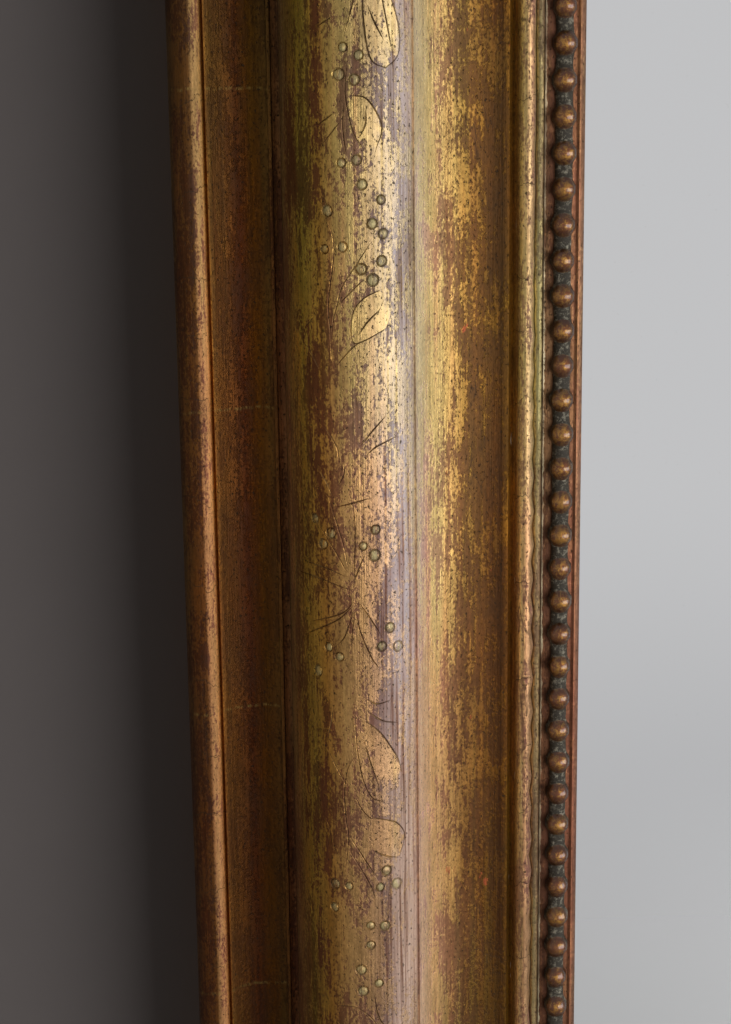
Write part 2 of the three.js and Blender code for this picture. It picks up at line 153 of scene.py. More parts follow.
def rampOf(tree, value, stops):
    ramp = put(tree, "ValToRGB", {"Fac": value})
    elements = ramp.color_ramp.elements
    for i, (place, colour) in enumerate(stops):
        stop = elements[i] if i < 2 else elements.new(place)
        stop.position = place
        stop.color = (*colour, 1) if len(colour) == 3 else colour
    return ramp.outputs


def axesOf(tree, vector):
    return put(tree, "SeparateXYZ", {0: vector}).outputs


def objectPlace(tree):
    return put(tree, "TexCoord").outputs["Object"]


def runPlace(tree):
    return put(tree, "UVMap", uv_map="run").outputs[0]


def valueOf(tree, label):
    return put(tree, "Attribute", attribute_name=label).outputs["Fac"]


def bumpOf(tree, height, strength, distance):
    inputs = {"Height": height, "Strength": strength, "Distance": distance}
    return put(tree, "Bump", inputs).outputs["Normal"]


def newGroup(name, inputs, outputs):
    tree = bpy.data.node_groups.new(name, "ShaderNodeTree")
    for way, sockets in (("INPUT", inputs), ("OUTPUT", outputs)):
        for label, kind in sockets.items():
            tree.interface.new_socket(label, in_out=way, socket_type="NodeSocket" + kind)
    start = tree.nodes.new("NodeGroupInput")
    end = tree.nodes.new("NodeGroupOutput")
    return tree, start.outputs, end


def useGroup(tree, group, inputs):
    item = tree.nodes.new("ShaderNodeGroup")
    item.node_tree = group
    return feed(tree, item, inputs).outputs


def newMaterial(name):
    material = bpy.data.materials.new(name)
    material.use_nodes = True
    tree = material.node_tree
    return material, tree, tree.nodes["Principled BSDF"]


moulding = {
    "faceWidth": 100,
    "outerSide": [(0, 0), (0, 8), (0, 16), (0, 24), (0, 30)],
    "outerRib": (0, 8, 36, 4),  # from, to, foot, rise
    "outerQuirk": (8.4, 35.4),
    "scotia": ((8.8, 37.2), (23.6, 33.8), 2.2),  # ends, and the dip under its chord
    "fillet": [(23.6, 34.7), (24.5, 34.7), (24.5, 33.4)],
    "swellFoot": (26.5, 33.4),
    "crest": (43, 60),
    "swellEnd": (57.5, 53.5),
    "score": (57.9, 52.5),
    "coveTop": (58.3, 53),
    "coveFoot": (81.7, 35.6),
    "crease": (82.55, 34.2),
    "innerRib": (83.4, 87.9, 35.4, 3),
    "thinRib": (87.9, 90.2, 35.4, 1.1),
    "beadSeat": 34.6,
    "seatWidths": (90.2, 94, 97.9),
    "sightLip": [(98.6, 35.3), (100, 34), (100, 31.5)],
    "rebate": [(100, 29), (90, 29), (90, 18), (80, 18), (80, 9)],
    "backWidths": (80, 60, 40, 20, 0.6),
    "incised": (28.5, 57),  # the part of the swell that carries the sprays
    "arris": 0.22,
    "arrisShare": 0.4,  # at most this share of a side is softened
    "arrisTurn": 0.35,  # the least turn, in radians, that counts as an arris
}
wallY = 26.15
halfWidth = 380
outerHeight = 1600
cornerRadius = 150
arcX = halfWidth - cornerRadius
arcZ = outerHeight - cornerRadius
seam = 0.3
crestX = moulding["crest"][0]


# Half an ellipse over a rib: x = middle + half width * cos a, height = foot + rise * sin a.
def ribCurve(low, high, foot, rise, steps):
    a = np.linspace(pi, 0, steps + 1)
    return np.c_[(low + high) / 2 + (high - low) / 2 * np.cos(a), foot + rise * np.sin(a)]


# The swell: a quarter ellipse up to the crest, then a circle that leaves the crest level.
def swellCurve(steps):
    (x0, h0), (x1, h1), (x2, h2) = (moulding[k] for k in ("swellFoot", "crest", "swellEnd"))
    a = np.linspace(pi, pi / 2, steps + 1)
    rise = np.c_[x1 + (x1 - x0) * np.cos(a), h0 + (h1 - h0) * np.sin(a)]
    radius = ((x2 - x1) ** 2 + (h1 - h2) ** 2) / (2 * (h1 - h2))
    turn = np.linspace(0, np.arcsin((x2 - x1) / radius), steps + 1)[1:]
    fall = np.c_[x1 + radius * np.sin(turn), h1 - radius * (1 - np.cos(turn))]
    return np.vstack([rise, fall])


# The cove: a circle that ends level at its foot.
def coveCurve(steps):
    (x0, h0), (x1, h1) = moulding["coveTop"], moulding["coveFoot"]
    radius = ((x1 - x0) ** 2 + (h0 - h1) ** 2) / (2 * (h0 - h1))
    start = atan2(h0 - h1 - radius, x0 - x1)
    a = np.linspace(start, -pi / 2, steps + 1)
    return np.c_[x1 + radius * np.cos(a), h1 + radius + radius * np.sin(a)]


# The scotia: a parabola that dips under the straight way between its ends.
def scotiaCurve(steps):
    first, last, dip = moulding["scotia"]
    t = np.linspace(0, 1, steps + 1)[:, None]
    way = np.array(first) * (1 - t) + np.array(last) * t
    return way - 4 * dip * t * (1 - t) * np.array((0, 1))


# How far each point of a way is along it.
def runLengths(points):
    return np.r_[0, np.cumsum(np.hypot(*np.diff(points, axis=0).T))]


def nearestTo(points, spot):
    return int(np.argmin(np.hypot(*(points - spot).T)))


# The direction square to a way at each of its points.
def normalsOf(way):
    turn = np.gradient(way, axis=0)
    return np.c_[-turn[:, 1], turn[:, 0]] / np.hypot(*turn.T)[:, None]


# Softens each arris: two points a little way along its sides and one between them.
def softened(points):
    before = points - np.roll(points, 1, axis=0)
    after = np.roll(points, -1, axis=0) - points
    longBefore = np.hypot(*before.T)[:, None]
    longAfter = np.hypot(*after.T)[:, None]
    wayIn, wayOut = before / longBefore, after / longAfter
    turn = np.abs(np.arctan2(wayIn[:, 0] * wayOut[:, 1] - wayIn[:, 1] * wayOut[:, 0],
                             (wayIn * wayOut).sum(1)))
    reach = np.minimum(moulding["arris"], moulding["arrisShare"] * np.minimum(longBefore, longAfter))
    trio = np.stack([points - wayIn * reach, points + (wayOut - wayIn) * reach / 4,
                     points + wayOut * reach], axis=1)
    keep = np.ones((len(points), 3), bool)
    blunt = turn < moulding["arrisTurn"]
    keep[blunt] = (False, True, False)
    trio[blunt, 1] = points[blunt]
    return trio[keep]


# The incised part of the swell, and the rest of the section as one way round.
def sectionCurves():
    swell = swellCurve(60)
    low, high = moulding["incised"]
    incised = swell[(swell[:, 0] > low) & (swell[:, 0] < high)]
    heights = np.interp((low, high), swell[:, 0], swell[:, 1])
    incised = np.vstack([(low, heights[0]), incised, (high, heights[1])])
    foot = swell[swell[:, 0] < low][::4]
    outer = np.vstack([
        moulding["outerSide"], ribCurve(*moulding["outerRib"], 14), [moulding["outerQuirk"]],
        scotiaCurve(12), moulding["fillet"], foot,
    ])
    inner = np.vstack([
        [moulding["swellEnd"], moulding["score"]], coveCurve(16), [moulding["crease"]],
        ribCurve(*moulding["innerRib"], 10), ribCurve(*moulding["thinRib"], 6)[1:],
        [(width, moulding["beadSeat"]) for width in moulding["seatWidths"]],
        moulding["sightLip"], moulding["rebate"], [(width, 0) for width in moulding["backWidths"]],
    ])
    whole = softened(np.vstack([outer, incised, inner]))
    first, last = (nearestTo(whole, end) for end in incised[[0, -1]])
    return np.vstack([whole[last:], whole[:first + 1]]), incised


ring, incised = sectionCurves()  # ring runs from the swell's end, round the back, to its foot
incisedRun = runLengths(incised)
crestRun = np.interp(crestX, incised[:, 0], incisedRun)
backStart = nearestTo(ring, moulding["sightLip"][-1])  # first point behind the sight
cornerPoint = nearestTo(ring, (moulding["backWidths"][-1], 0))  # last on the back
ringRun = runLengths(ring)
footRun = ringRun[-1] - ringRun[cornerPoint + 1]  # outer back edge to the incised part
acrossRing = np.where(np.arange(len(ring)) > cornerPoint, ringRun - ringRun[cornerPoint + 1],
                      footRun + incisedRun[-1] + ringRun)


# Where a place along the section, given by its width, lies on the across coordinate.
def acrossOf(width):
    front = np.vstack([ring[cornerPoint + 1:], incised[1:-1], ring[:backStart]])
    run = runLengths(front)
    return float(np.interp(width, front[:, 0], run)) * mm


# Places are (across, along) in mm from the crest and from the middle of the tile.
sprays = {
    "length": 281.3,
    "columns": 64,
    "rows": 26,
    "lineWidth": 0.23,  # half the width of a cut at its middle
    "lineDepth": 0.2,
    "lineEnd": 0.35,  # a cut's width at its ends, against its middle
    "lineSwell": 0.6,  # power that fills the cut out between its ends
    "clearance": 0.5,  # between a cut and the lattice's points
    "seed": 3,
    "berrySizes": (0.82, 1.15),
    "berrySides": 10,
    "berryRings": (0.55, 0.95, 1.18, 1.5),
    "berryDepths": (-0.12, 0.02, 0.3, 0),  # at those radii; a berry's top stands proud
    "berryTop": -0.2,
    "lines": [
        # large leaf at the top, with its veins
        [(9, 109), (5.5, 111), (4, 118), (4, 126), (7, 135)],
        [(9, 109), (12.5, 112), (12.8, 118), (10.5, 125), (7, 135)],
        [(8.5, 115.5), (6.5, 119), (5, 122.5)],
        [(10.5, 114), (9.5, 119), (8, 126)],
        # stem and second leaf
        [(3, 133), (1.5, 124), (-0.5, 117)],
        [(0, 110.5), (-0.6, 104), (0.3, 98), (1.5, 94), (3.5, 91)],
        [(-0.8, 102), (-1.3, 97), (-1, 93), (-0.5, 90)],
        [(1, 103), (4, 102.5), (6.5, 99.5), (8, 95.5), (6.5, 91)],
        [(2.5, 93.5), (4, 96.5), (4.2, 99.5)],
        [(-3.5, 99), (-7.5, 96.5)],
        [(-2, 97), (-6, 92.5)],
        [(-3.5, 120.5), (-7, 118.5)],
        # long stem, with three side stems
        [(-5.2, 74.5), (-4, 71), (-3.9, 66.5), (-4.7, 61), (-5.5, 55), (-5.1, 49), (-4.8, 42)],
        [(4.5, 69), (1, 64), (-2, 59.5), (-3.3, 55), (-4.2, 52), (-4.9, 47)],
        [(3, 61), (-0.3, 58), (-2.7, 55.5)],
        # third leaf
        [(7, 58.5), (3.5, 57), (1, 54.5), (0, 50.5), (0.5, 46.5), (3, 46.8), (8.5, 49.5)],
        [(2, 48.5), (4, 51.3), (7, 54)],
        [(-3.6, 41), (0, 45), (2, 46.5)],
        [(-10, 52), (-13, 49.5)],
        [(-13, 45.5), (-11, 43.5), (-8.5, 40)],
        # small tendrils over the flower
        [(-7, 26), (-5, 23.5), (-3.7, 21), (-3.4, 18)],
        [(-1.9, 18), (-2.2, 15), (-3.4, 12.5)],
        [(-9, 15.5), (-6.7, 12.5), (-5.2, 9.5)],
        [(-6.4, 9.5), (-5.2, 6), (-3.9, 2), (-2.5, -2.5), (-1.6, -7.5)],
        [(-4, 7), (3.5, 9)],
        [(0, 7), (0.3, 2.5), (0.2, -3), (0, -10)],
        [(2, 22), (5, 25.5), (8, 28.5)],
        [(11, 23.5), (6, 21.6), (3.8, 20)],
        # star-burst flower
        [(-10, 3), (-4.7, -4), (-1.8, -9)],
        [(-15, -8), (-7.5, -8.4), (-2.3, -10)],
        [(-19, -11.3), (-9.5, -11.3), (-0.7, -13.4)],
        [(2.5, -5), (1.2, -8), (0.1, -11)],
        [(-0.4, -16.6), (-3.5, -19.5), (-12.5, -22.7)],
        [(-1, -18), (-5, -21.5), (-16, -27)],
        [(-0.5, -19.4), (-2.5, -25), (-4, -27)],
        [(0, -19.4), (-0.8, -25), (-0.9, -32)],
        [(0.3, -18.7), (1.3, -24), (3.9, -30.5), (5.5, -33)],
        [(1.3, -17), (3.3, -20), (6, -24.3)],
        # leaves and stems under it
        [(-0.4, -43), (-0.1, -51.5), (0.5, -57), (1.5, -62), (3.5, -66.5), (6.5, -68)],
        [(2.7, -47), (6, -50), (8.7, -54), (10.7, -57.5), (11.7, -61)],
        [(1.9, -52), (3.2, -57), (5.3, -63.5)],
        [(2.4, -41), (5.2, -42.5), (8.5, -42)],
        [(3, -44.5), (6.6, -47), (10.5, -48)],
        [(-5.8, -43), (-6.7, -48), (-8, -52.5)],
        [(-1.4, -57), (-2.7, -60.5), (-3.3, -66), (-3, -72), (-2.4, -76.5), (-2.7, -80.5), (-3.5, -87)],
        [(-8.6, -53.5), (-5.3, -59), (-2.2, -64)],
        [(-0.7, -66), (1.3, -70), (3.4, -72.3)],
        [(-2.3, -76.5), (0.2, -80.5), (3, -85.3), (4.5, -87.5)],
        [(-1.9, -81), (1, -86), (3, -90), (4, -93)],
        [(4, -72), (7.5, -73), (10.5, -74.5), (12.5, -78), (11, -83)],
        [(4, -80.8), (6.7, -82.3), (10.5, -83.5)],
        [(-8.5, -73.5), (-7.6, -76.5), (-9, -82.5)],
        [(-6, -123), (-1, -123), (3.5, -127), (5.5, -133)],
        [(3.7, -120), (4.7, -126), (8, -131)],
    ],
    "leaves": [  # outlines of the leaves whose gold is whole
        [(9, 109), (5.5, 111), (4, 118), (4, 126), (7, 135), (10.5, 125), (12.8, 118), (12.5, 112)],
        [(1, 103), (4, 102.5), (6.5, 99.5), (8, 95.5), (6.5, 91), (2.5, 93.5)],
        [(7, 58.5), (3.5, 57), (1, 54.5), (0, 50.5), (0.5, 46.5), (3, 46.8), (8.5, 49.5), (10, 54)],
        [(2.7, -47), (6, -50), (8.7, -54), (10.7, -57.5), (11.7, -61), (5.3, -63.5), (3.2, -57)],
        [(4, -72), (7.5, -73), (10.5, -74.5), (12.5, -78), (11, -83), (6.7, -82.3), (4, -80.8)],
    ],
    "berries": [
        (-1, 113.8), (2.6, 112), (-2.1, 107.8), (1.5, 106.6), (-1.7, 88), (1.8, 88.6),
        (3, 83), (7.6, 79.4), (-5.4, 77), (-6.2, 68.2), (-1.7, 68.8), (5.3, 74), (8, 71.6),
        (7.6, 65.3), (2.6, 63.6), (5.3, 61), (-10.8, 3.4), (-5.8, 0.4), (-8.2, -2.6),
        (5.3, 1.3), (2.2, -2.6), (5, -5), (-7, -28.3), (-4, -30.4), (-10.6, -35),
        (8.8, -23.5), (6.6, -28), (11, -28.5), (-2.4, -90), (-6.3, -90), (-6.5, -96.3),
        (5.5, -90.6), (7.2, -86.4), (10, -90.4), (2.9, -100.7), (6.6, -101.2), (2.9, -106),
        (0.3, -112.6), (0.8, -118.4), (4.9, -116.6),
    ],
}
# The shorter tile for the rounded corners and the rails: a flower between two sprigs.
sprigs = dict(
    sprays, length=167, columns=38,
    lines=[line for line in sprays["lines"] if all(-38 < s < 44 for _, s in line)] + [
        [(-3, 46), (-4, 54), (-3.5, 62), (-1, 70), (2, 76)],
        [(-3.4, 52), (0, 57), (4, 60.5)],
        [(-3.6, 60), (-7, 65), (-11, 68)],
        [(0, -34), (-1, -44), (-1.5, -54), (0, -64), (3, -74)],
        [(-1.2, -46), (3, -51), (7, -54), (10, -59)],
        [(-1.5, -52), (-5, -57), (-9, -60)],
        [(-0.5, -61), (-4, -67), (-8, -72)],
    ],
    leaves=[],
    berries=[spot for spot in sprays["berries"] if -38 < spot[1] < 44] + [
        (3, 79), (0.4, 78.4), (5.6, 61.6), (6.6, 58.6), (-12.4, 70), (-10, 71.6), (4, -77),
        (6.6, -75.4), (11, -62), (-10.6, -61.6), (-9.4, -75), (-11.4, -72.6),
    ],
)


# A smooth way through given points: Catmull-Rom spans, each sampled a few times.
def throughPoints(points, steps=5):
    points = np.array(points, float)
    if len(points) == 2:
        points = np.vstack([points[0], points.mean(0), points[1]])
    whole = np.vstack([2 * points[0] - points[1], points, 2 * points[-1] - points[-2]])
    a, b, c, d = whole[:-3], whole[1:-2], whole[2:-1], whole[3:]
    t = (np.arange(steps) / steps)[:, None, None]
    spans = 0.5 * (2 * b + (c - a) * t + (2 * a - 5 * b + 4 * c - d) * t**2
                   + (3 * b - a - 3 * c + d) * t**3)
    return np.vstack([spans.transpose(1, 0, 2).reshape(-1, 2), points[-1]])


# Whether each point is inside one of some outlines: a level ray from it crosses an odd
# number of the outline's sides.
def insideOf(points, outlines):
    inside = np.zeros(len(points), bool)
    x, y = points[:, :1], points[:, 1:]
    for outline in outlines:
        (ax, ay), (bx, by) = np.array(outline, float).T, np.roll(outline, -1, axis=0).astype(float).T
        spans = (ay > y) != (by > y)
        reach = (bx - ax) * (y - ay) / np.where(by == ay, 1, by - ay) + ax
        inside |= (spans & (x < reach)).sum(1) % 2 == 1
    return inside.astype(float)


# A tile's triangles, and how deep it is cut at each of its points. A cut is a V whose depth
# falls from its middle to its edges, and a berry is a low dome in a round channel.
def cutTile(tile, flip):
    columns, rows = tile["columns"], tile["rows"]
    pitch = tile["length"] / columns
    low, high = -crestRun, incisedRun[-1] - crestRun
    across = np.linspace(low, high, rows + 1)
    along = np.arange(columns + 1) * pitch - tile["length"] / 2
    lattice = np.stack(np.meshgrid(across, along, indexing="ij"), -1)
    inside = lattice[1:-1, 1:-1].reshape(-1, 2)
    rim = np.vstack([lattice[0], lattice[-1], lattice[1:-1, 0], lattice[1:-1, -1]])
    points, edges, parts, count = [rim], [], [], len(rim)
    for line in tile["lines"]:
        way = throughPoints(line)
        normal = normalsOf(way)
        swell = np.sin(pi * np.linspace(0, 1, len(way))) ** tile["lineSwell"]
        half = tile["lineWidth"] * (tile["lineEnd"] + (1 - tile["lineEnd"]) * swell)
        parts.append(np.c_[way[:-1], way[1:], half[:-1], half[1:]])
        for shift in (-1, 0, 1):
            points.append(way + shift * normal * half[:, None])
            step = np.arange(count, count + len(way) - 1)
            edges.append(np.c_[step, step + 1])
            count += len(way)
    parts = np.vstack(parts)
    berries = np.array(tile["berries"])
    sizes = np.random.default_rng(tile["seed"]).uniform(*tile["berrySizes"], len(berries))
    turnRound = np.linspace(0, 2 * pi, tile["berrySides"] + 1)[:-1]
    circle = np.stack([np.cos(turnRound), np.sin(turnRound)], -1)
    for radius in tile["berryRings"]:
        rounds = berries[:, None] + radius * sizes[:, None, None] * circle
        points.append(rounds.reshape(-1, 2))
    points.append(berries)
    # lattice points that would crowd a cut are left out
    busy = np.vstack(points[1:])
    gap = np.hypot(inside[:, None, 0] - busy[None, :, 0], inside[:, None, 1] - busy[None, :, 1])
    points.append(inside[gap.min(1) > tile["clearance"]])
    seeds = [Vector(p) for p in np.vstack(points)]
    joins = [(int(a), int(b)) for a, b in np.vstack(edges)]
    result = delaunay_2d_cdt(seeds, joins, [], 0, 1e-5)
    where = np.array([tuple(p) for p in result[0]])
    triangles = np.array([tuple(f) for f in result[2]])
    start, end = parts[:, 0:2], parts[:, 2:4]
    way = end - start
    offset = where[:, None] - start[None]
    share = np.clip((offset * way).sum(-1) / (way**2).sum(-1), 0, 1)
    distance = np.hypot(*np.moveaxis(offset - share[..., None] * way, -1, 0))
    half = parts[:, 4] + share * (parts[:, 5] - parts[:, 4])
    cuts = tile["lineDepth"] * np.clip(half / tile["lineWidth"], 0, 1) * np.clip(1 - distance / half, 0, 1)
    fromBerry = (np.hypot(*np.moveaxis(where[:, None] - berries[None], -1, 0)) / sizes).min(1)
    rings, depths = (0, *tile["berryRings"]), (tile["berryTop"], *tile["berryDepths"])
    pressed = np.interp(fromBerry, rings, depths)
    depth = np.where(fromBerry < rings[-1], pressed, cuts.max(1))
    dome = np.interp(fromBerry, (rings[2], rings[4]), (1, 0))
    gold = insideOf(where, tile["leaves"])
    column = (where[:, 1] + tile["length"] / 2) / pitch
    if flip:
        column = columns - column
    return np.c_[where[:, 0], column], triangles, depth, dome, gold


tileCache = {}


def tileFor(tile, flip):
    key = (tile["columns"], flip)
    if key not in tileCache:
        tileCache[key] = cutTile(tile, flip)
    return tileCache[key]


waveLattice = np.random.default_rng(7).uniform(-1, 1, (64, 64))


# Smooth random waves over two coordinates: lattice values joined by cosine steps.
def waves(x, y):
    i, j = np.floor(x).astype(int), np.floor(y).astype(int)
    a, b = (1 - np.cos(pi * (x - i))) / 2, (1 - np.cos(pi * (y - j))) / 2

    def alongRow(row):
        first, second = (waveLattice[(i + step) % 64, row % 64] for step in (0, 1))
        return first * (1 - a) + second * a

    return alongRow(j) * (1 - b) + alongRow(j + 1) * b


def addObject(name, data):
    thing = bpy.data.objects.new(name, data)
    bpy.context.scene.collection.objects.link(thing)
    return thing


# Puts a mesh through bmesh: the steps are done to it, and its faces made to point outwards.
# Its edges stay sharp where it turns by more than an angle.
def refine(mesh, sharp, steps=()):
    shell = bmesh.new()
    shell.from_mesh(mesh)
    for step in steps:
        step(shell)
    bmesh.ops.recalc_face_normals(shell, faces=shell.faces)
    shell.to_mesh(mesh)
    shell.free()
    mesh.shade_smooth()
    mesh.set_sharp_from_angle(angle=radians(sharp))


# The four-sided faces between each row of points and the next; rows that close on
# themselves get one more.
def quadsOf(grid, closed=False):
    following = np.roll(grid, -1, axis=1) if closed else grid[:, 1:]
    grid = grid if closed else grid[:, :-1]
    return np.stack([grid[:-1], grid[1:], following[1:], following[:-1]], -1).reshape(-1, 4)


# The faces of a closed tube with so many points in each of its rings, and its two ends.
def tubeFaces(count, around):
    grid = np.arange(count).reshape(-1, around)
    return quadsOf(grid, closed=True).tolist() + [grid[0].tolist(), grid[-1].tolist()]


# A mesh from points in mm, with a UV in metres and named values at its points.
def buildPiece(name, points, faces, materials, uv=None, values=None, faceMaterial=None, sharp=50):
    mesh = bpy.data.meshes.new(name)
    mesh.from_pydata((np.asarray(points) * mm).tolist(), [], faces)
    for material in materials:
        mesh.materials.append(material)
    if faceMaterial is not None:
        mesh.polygons.foreach_set("material_index", np.asarray(faceMaterial, np.int32))
    refine(mesh, sharp)
    if uv is not None:
        corner = np.empty(len(mesh.loops), np.int32)
        mesh.loops.foreach_get("vertex_index", corner)
        mesh.uv_layers.new(name="run").uv.foreach_set("vector", (np.asarray(uv) * mm)[corner].ravel())
    for label, value in (values or {}).items():
        mesh.attributes.new(label, "FLOAT", "POINT").data.foreach_set("value", np.asarray(value, float))
    return addObject(name, mesh)


def dress(thing, node, body="frame"):
    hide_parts(node)
    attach(thing, body)
    return thing


mitreShare = 0.12  # share of a stile that leans into its lower mitre


# Places on the frame in mm, from widths in from the outer edge, heights in front of the
# wall and a share of the run, from 0 to 1. A stile or rail is square to its run, apart from
# the last part before a mitre, where it leans over into the mitre.
def onStile(side):
    def place(u, h, share):
        z = seam + crestX + share * (arcZ - 2 * seam - crestX)
        z = z + (u - crestX) * np.clip(1 - share / mitreShare, 0, 1)
        return np.stack([side * (halfWidth - u), wallY - h, z], -1)
    return place


def onBottomRail(u, h, share):
    t = 2 * share - 1
    lean = (u - crestX) * np.sign(t) * np.clip(np.abs(t) * 5 - 4, 0, 1)
    return np.stack([(halfWidth - crestX - seam) * t - lean, wallY - h, u], -1)


def onTopRail(u, h, share):
    return np.stack([(arcX - seam) * (2 * share - 1), wallY - h, outerHeight - u], -1)


def onCorner(side):
    def place(u, h, share):
        radius, angle = cornerRadius - u, share * pi / 2
        x = side * (arcX + radius * np.cos(angle))
        return np.stack([x, wallY - h, arcZ + radius * np.sin(angle)], -1)
    return place


# The gesso's waviness in mm. It shows between two heights and all over what stands higher,
# and the inner rib's inner edge wavers more, as hand-run plaster does.
gesso = {
    "shows": (30, 34),  # heights over which it sets in
    "depth": 0.1,
    "waves": (37, 19),  # lengths along and across
    "edge": 87.6,
    "edgeReach": 1.4,
    "edgeDepths": (0.4, 0.2),  # once a bead, and at random
    "edgeWave": 6,
}


# One length of moulding. The ring of the section is carried along the run, and tiles of the
# incised swell are set between its first and last points. Everything is worked out as
# (width, height, column), moved down by its cut and by a slight waviness, then placed.
def addMember(node, tiles, place, start, length, materials, axis=None):
    patches = [tileFor(tile, flip) for tile, flip in tiles]
    begins = np.cumsum([0] + [tile["columns"] for tile, _ in tiles])
    total = begins[-1]
    step = np.arange(total + 1)
    high = incisedRun[-1] - crestRun
    params = [patch[0] + (0, begin) for patch, begin in zip(patches, begins)]
    params += [np.c_[np.full(total + 1, high), step], np.c_[np.full(total + 1, -crestRun), step]]
    params = np.vstack(params)
    _, first, back = np.unique(np.round(params * 1000).astype(np.int64), axis=0,
                               return_index=True, return_inverse=True)
    back = back.ravel()
    plain = np.zeros(2 * total + 2)
    cuts, domes, golds = (np.hstack([patch[i] for patch in patches] + [plain])[first] for i in (2, 3, 4))
    params = params[first]
    triangles, offset = [], 0
    for patch in patches:
        triangles.append(back[patch[1] + offset])
        offset += len(patch[0])
    rowEnd = back[offset:offset + total + 1]
    rowStart = back[offset + total + 1:]
    run = params[:, 0] + crestRun
    width, height = (np.interp(run, incisedRun, incised[:, i]) for i in (0, 1))
    slope = np.gradient(incised, incisedRun, axis=0)
    leanWidth, leanHeight = (np.interp(run, incisedRun, slope[:, i]) for i in (0, 1))
    inner = ring[1:-1]
    u = np.r_[width + leanHeight * cuts, np.repeat(inner[:, 0], total + 1)]
    h = np.r_[height - leanWidth * cuts, np.repeat(inner[:, 1], total + 1)]
    across = np.r_[footRun + run, np.repeat(acrossRing[1:-1], total + 1)]
    column = np.r_[params[:, 1], np.tile(step, len(inner))]
    along = start + column / total * length
    low, high = gesso["shows"]
    shown = np.clip((h - low) / (high - low), 0, 1)
    waveAlong, waveAcross = gesso["waves"]
    sunk = gesso["depth"] * (1 + waves(along / waveAlong, across / waveAcross))
    h = np.minimum(h - shown * sunk, moulding["crest"][1])
    edge = np.clip(1 - np.abs(u - gesso["edge"]) / gesso["edgeReach"], 0, 1) * shown
    even, uneven = gesso["edgeDepths"]
    wander = uneven * waves(along / gesso["edgeWave"], np.full(len(along), 3.0))
    u = u + edge * (even * np.sin(2 * pi * along / beads["pitch"]) + wander)
    points = place(u, h, column / total)
    if axis is not None:
        along = points[:, axis]
    grid = np.empty((len(ring), total + 1), int)
    grid[0], grid[-1] = rowEnd, rowStart
    grid[1:-1] = len(params) + np.arange(len(inner) * (total + 1)).reshape(-1, total + 1)
    rowMaterial = np.zeros(len(ring) - 1, int)
    rowMaterial[backStart:cornerPoint] = 1
    faces = np.vstack(triangles).tolist() + quadsOf(grid).tolist()
    faceMaterial = [0] * sum(map(len, triangles)) + np.repeat(rowMaterial, total).tolist()
    for end in (0, total):
        line = np.flatnonzero(np.abs(params[:, 1] - end) < 1e-4)
        line = line[np.argsort(params[line, 0])]
        faces.append(grid[:, end].tolist() + line[1:-1].tolist())
        faceMaterial.append(1)
    spare = np.zeros(len(points) - len(cuts))
    marks = {"cut": np.clip(cuts / sprays["lineDepth"], 0, 1), "berry": domes, "gold": golds}
    values = {label: np.r_[value, spare] for label, value in marks.items()}
    uv = np.c_[along, across]
    thing = buildPiece(node + "_gilt", points, faces, materials, uv, values, faceMaterial, sharp=26)
    return dress(thing, node)


beads = {
    "pitch": 8.65,
    "width": 6.2,
    "height": 4,
    "neckWidth": 4.2,
    "neckHeight": 2.1,
    "line": 94.8,  # centre, from the outer edge
    "rings": (-75, -45, -15, 15, 45, 75),  # degrees round each bead
    "across": 8,
    "vary": (0.035, 0.05, 0.2, 0.12),  # shares of radius, height and neck, and mm sideways
    "fullness": (0.85, 0.8, 0.85),  # powers that fill out its length, width and height
}


# A run of beading. Round each bead the half width and the height follow a circle, width =
# radius * cos a at a distance radius * sin a along, and between beads a low neck joins them.
def addBeading(node, count, length, place, start, material):
    pitch = length / count
    a = np.radians(beads["rings"])
    radius = beads["width"] / 2
    along = np.r_[-pitch / 2, radius * np.sin(a)]
    bulge = np.r_[0, np.cos(a)]
    along = (np.arange(count)[:, None] + 0.5) * pitch + along
    along = np.r_[along.ravel(), length]
    draws = np.random.default_rng(count).uniform(-1, 1, (4, count))
    full, tall, neck, aside = (most * draw[:, None] for most, draw in zip(beads["vary"], draws))
    longPower, widePower, highPower = beads["fullness"]
    half = np.maximum(radius * (1 + full) * bulge, beads["neckWidth"] / 2)
    high = np.maximum(beads["height"] * (1 + tall) * bulge**longPower, beads["neckHeight"] * (1 + neck))
    high = np.minimum(high, beads["height"])
    centre = beads["line"] + aside * np.sign(bulge)
    half, high, centre = (np.r_[x.ravel(), x[-1, 0]] for x in (half, high, centre + 0 * half))
    b = np.linspace(pi, 0, beads["across"] + 1)
    u = centre[:, None] + half[:, None] * np.sign(np.cos(b)) * np.abs(np.cos(b)) ** widePower
    h = moulding["beadSeat"] + high[:, None] * np.sin(b) ** highPower
    share = np.repeat((along / length)[:, None], len(b), 1)
    points = place(u, h, share).reshape(-1, 3)
    rim = np.hypot((u - beads["line"]) / radius,
                   ((along / pitch) % 1 - 0.5)[:, None] * pitch / radius)
    uv = np.c_[(start + np.repeat(along, len(b))), (u - beads["line"]).ravel()]
    order = np.repeat(np.minimum(along // pitch, count - 1), len(b))
    values = {"rim": rim.ravel(), "order": order % 1000}
    faces = tubeFaces(len(points), len(b))
    thing = buildPiece(node + "_pearls", points, faces, [material], uv, values, sharp=60)
    return dress(thing, node)


hangers = {
    "x": 340, "y": 30, "z": 1390,
    "wire": 4, "halfWidth": 12.5, "drop": 19, "corner": 3.4, "joint": 0.6,
    "around": 16,
    "worn": 0.02,  # share of the wire's radius that wear takes off on average
    "wornWave": 5,
}


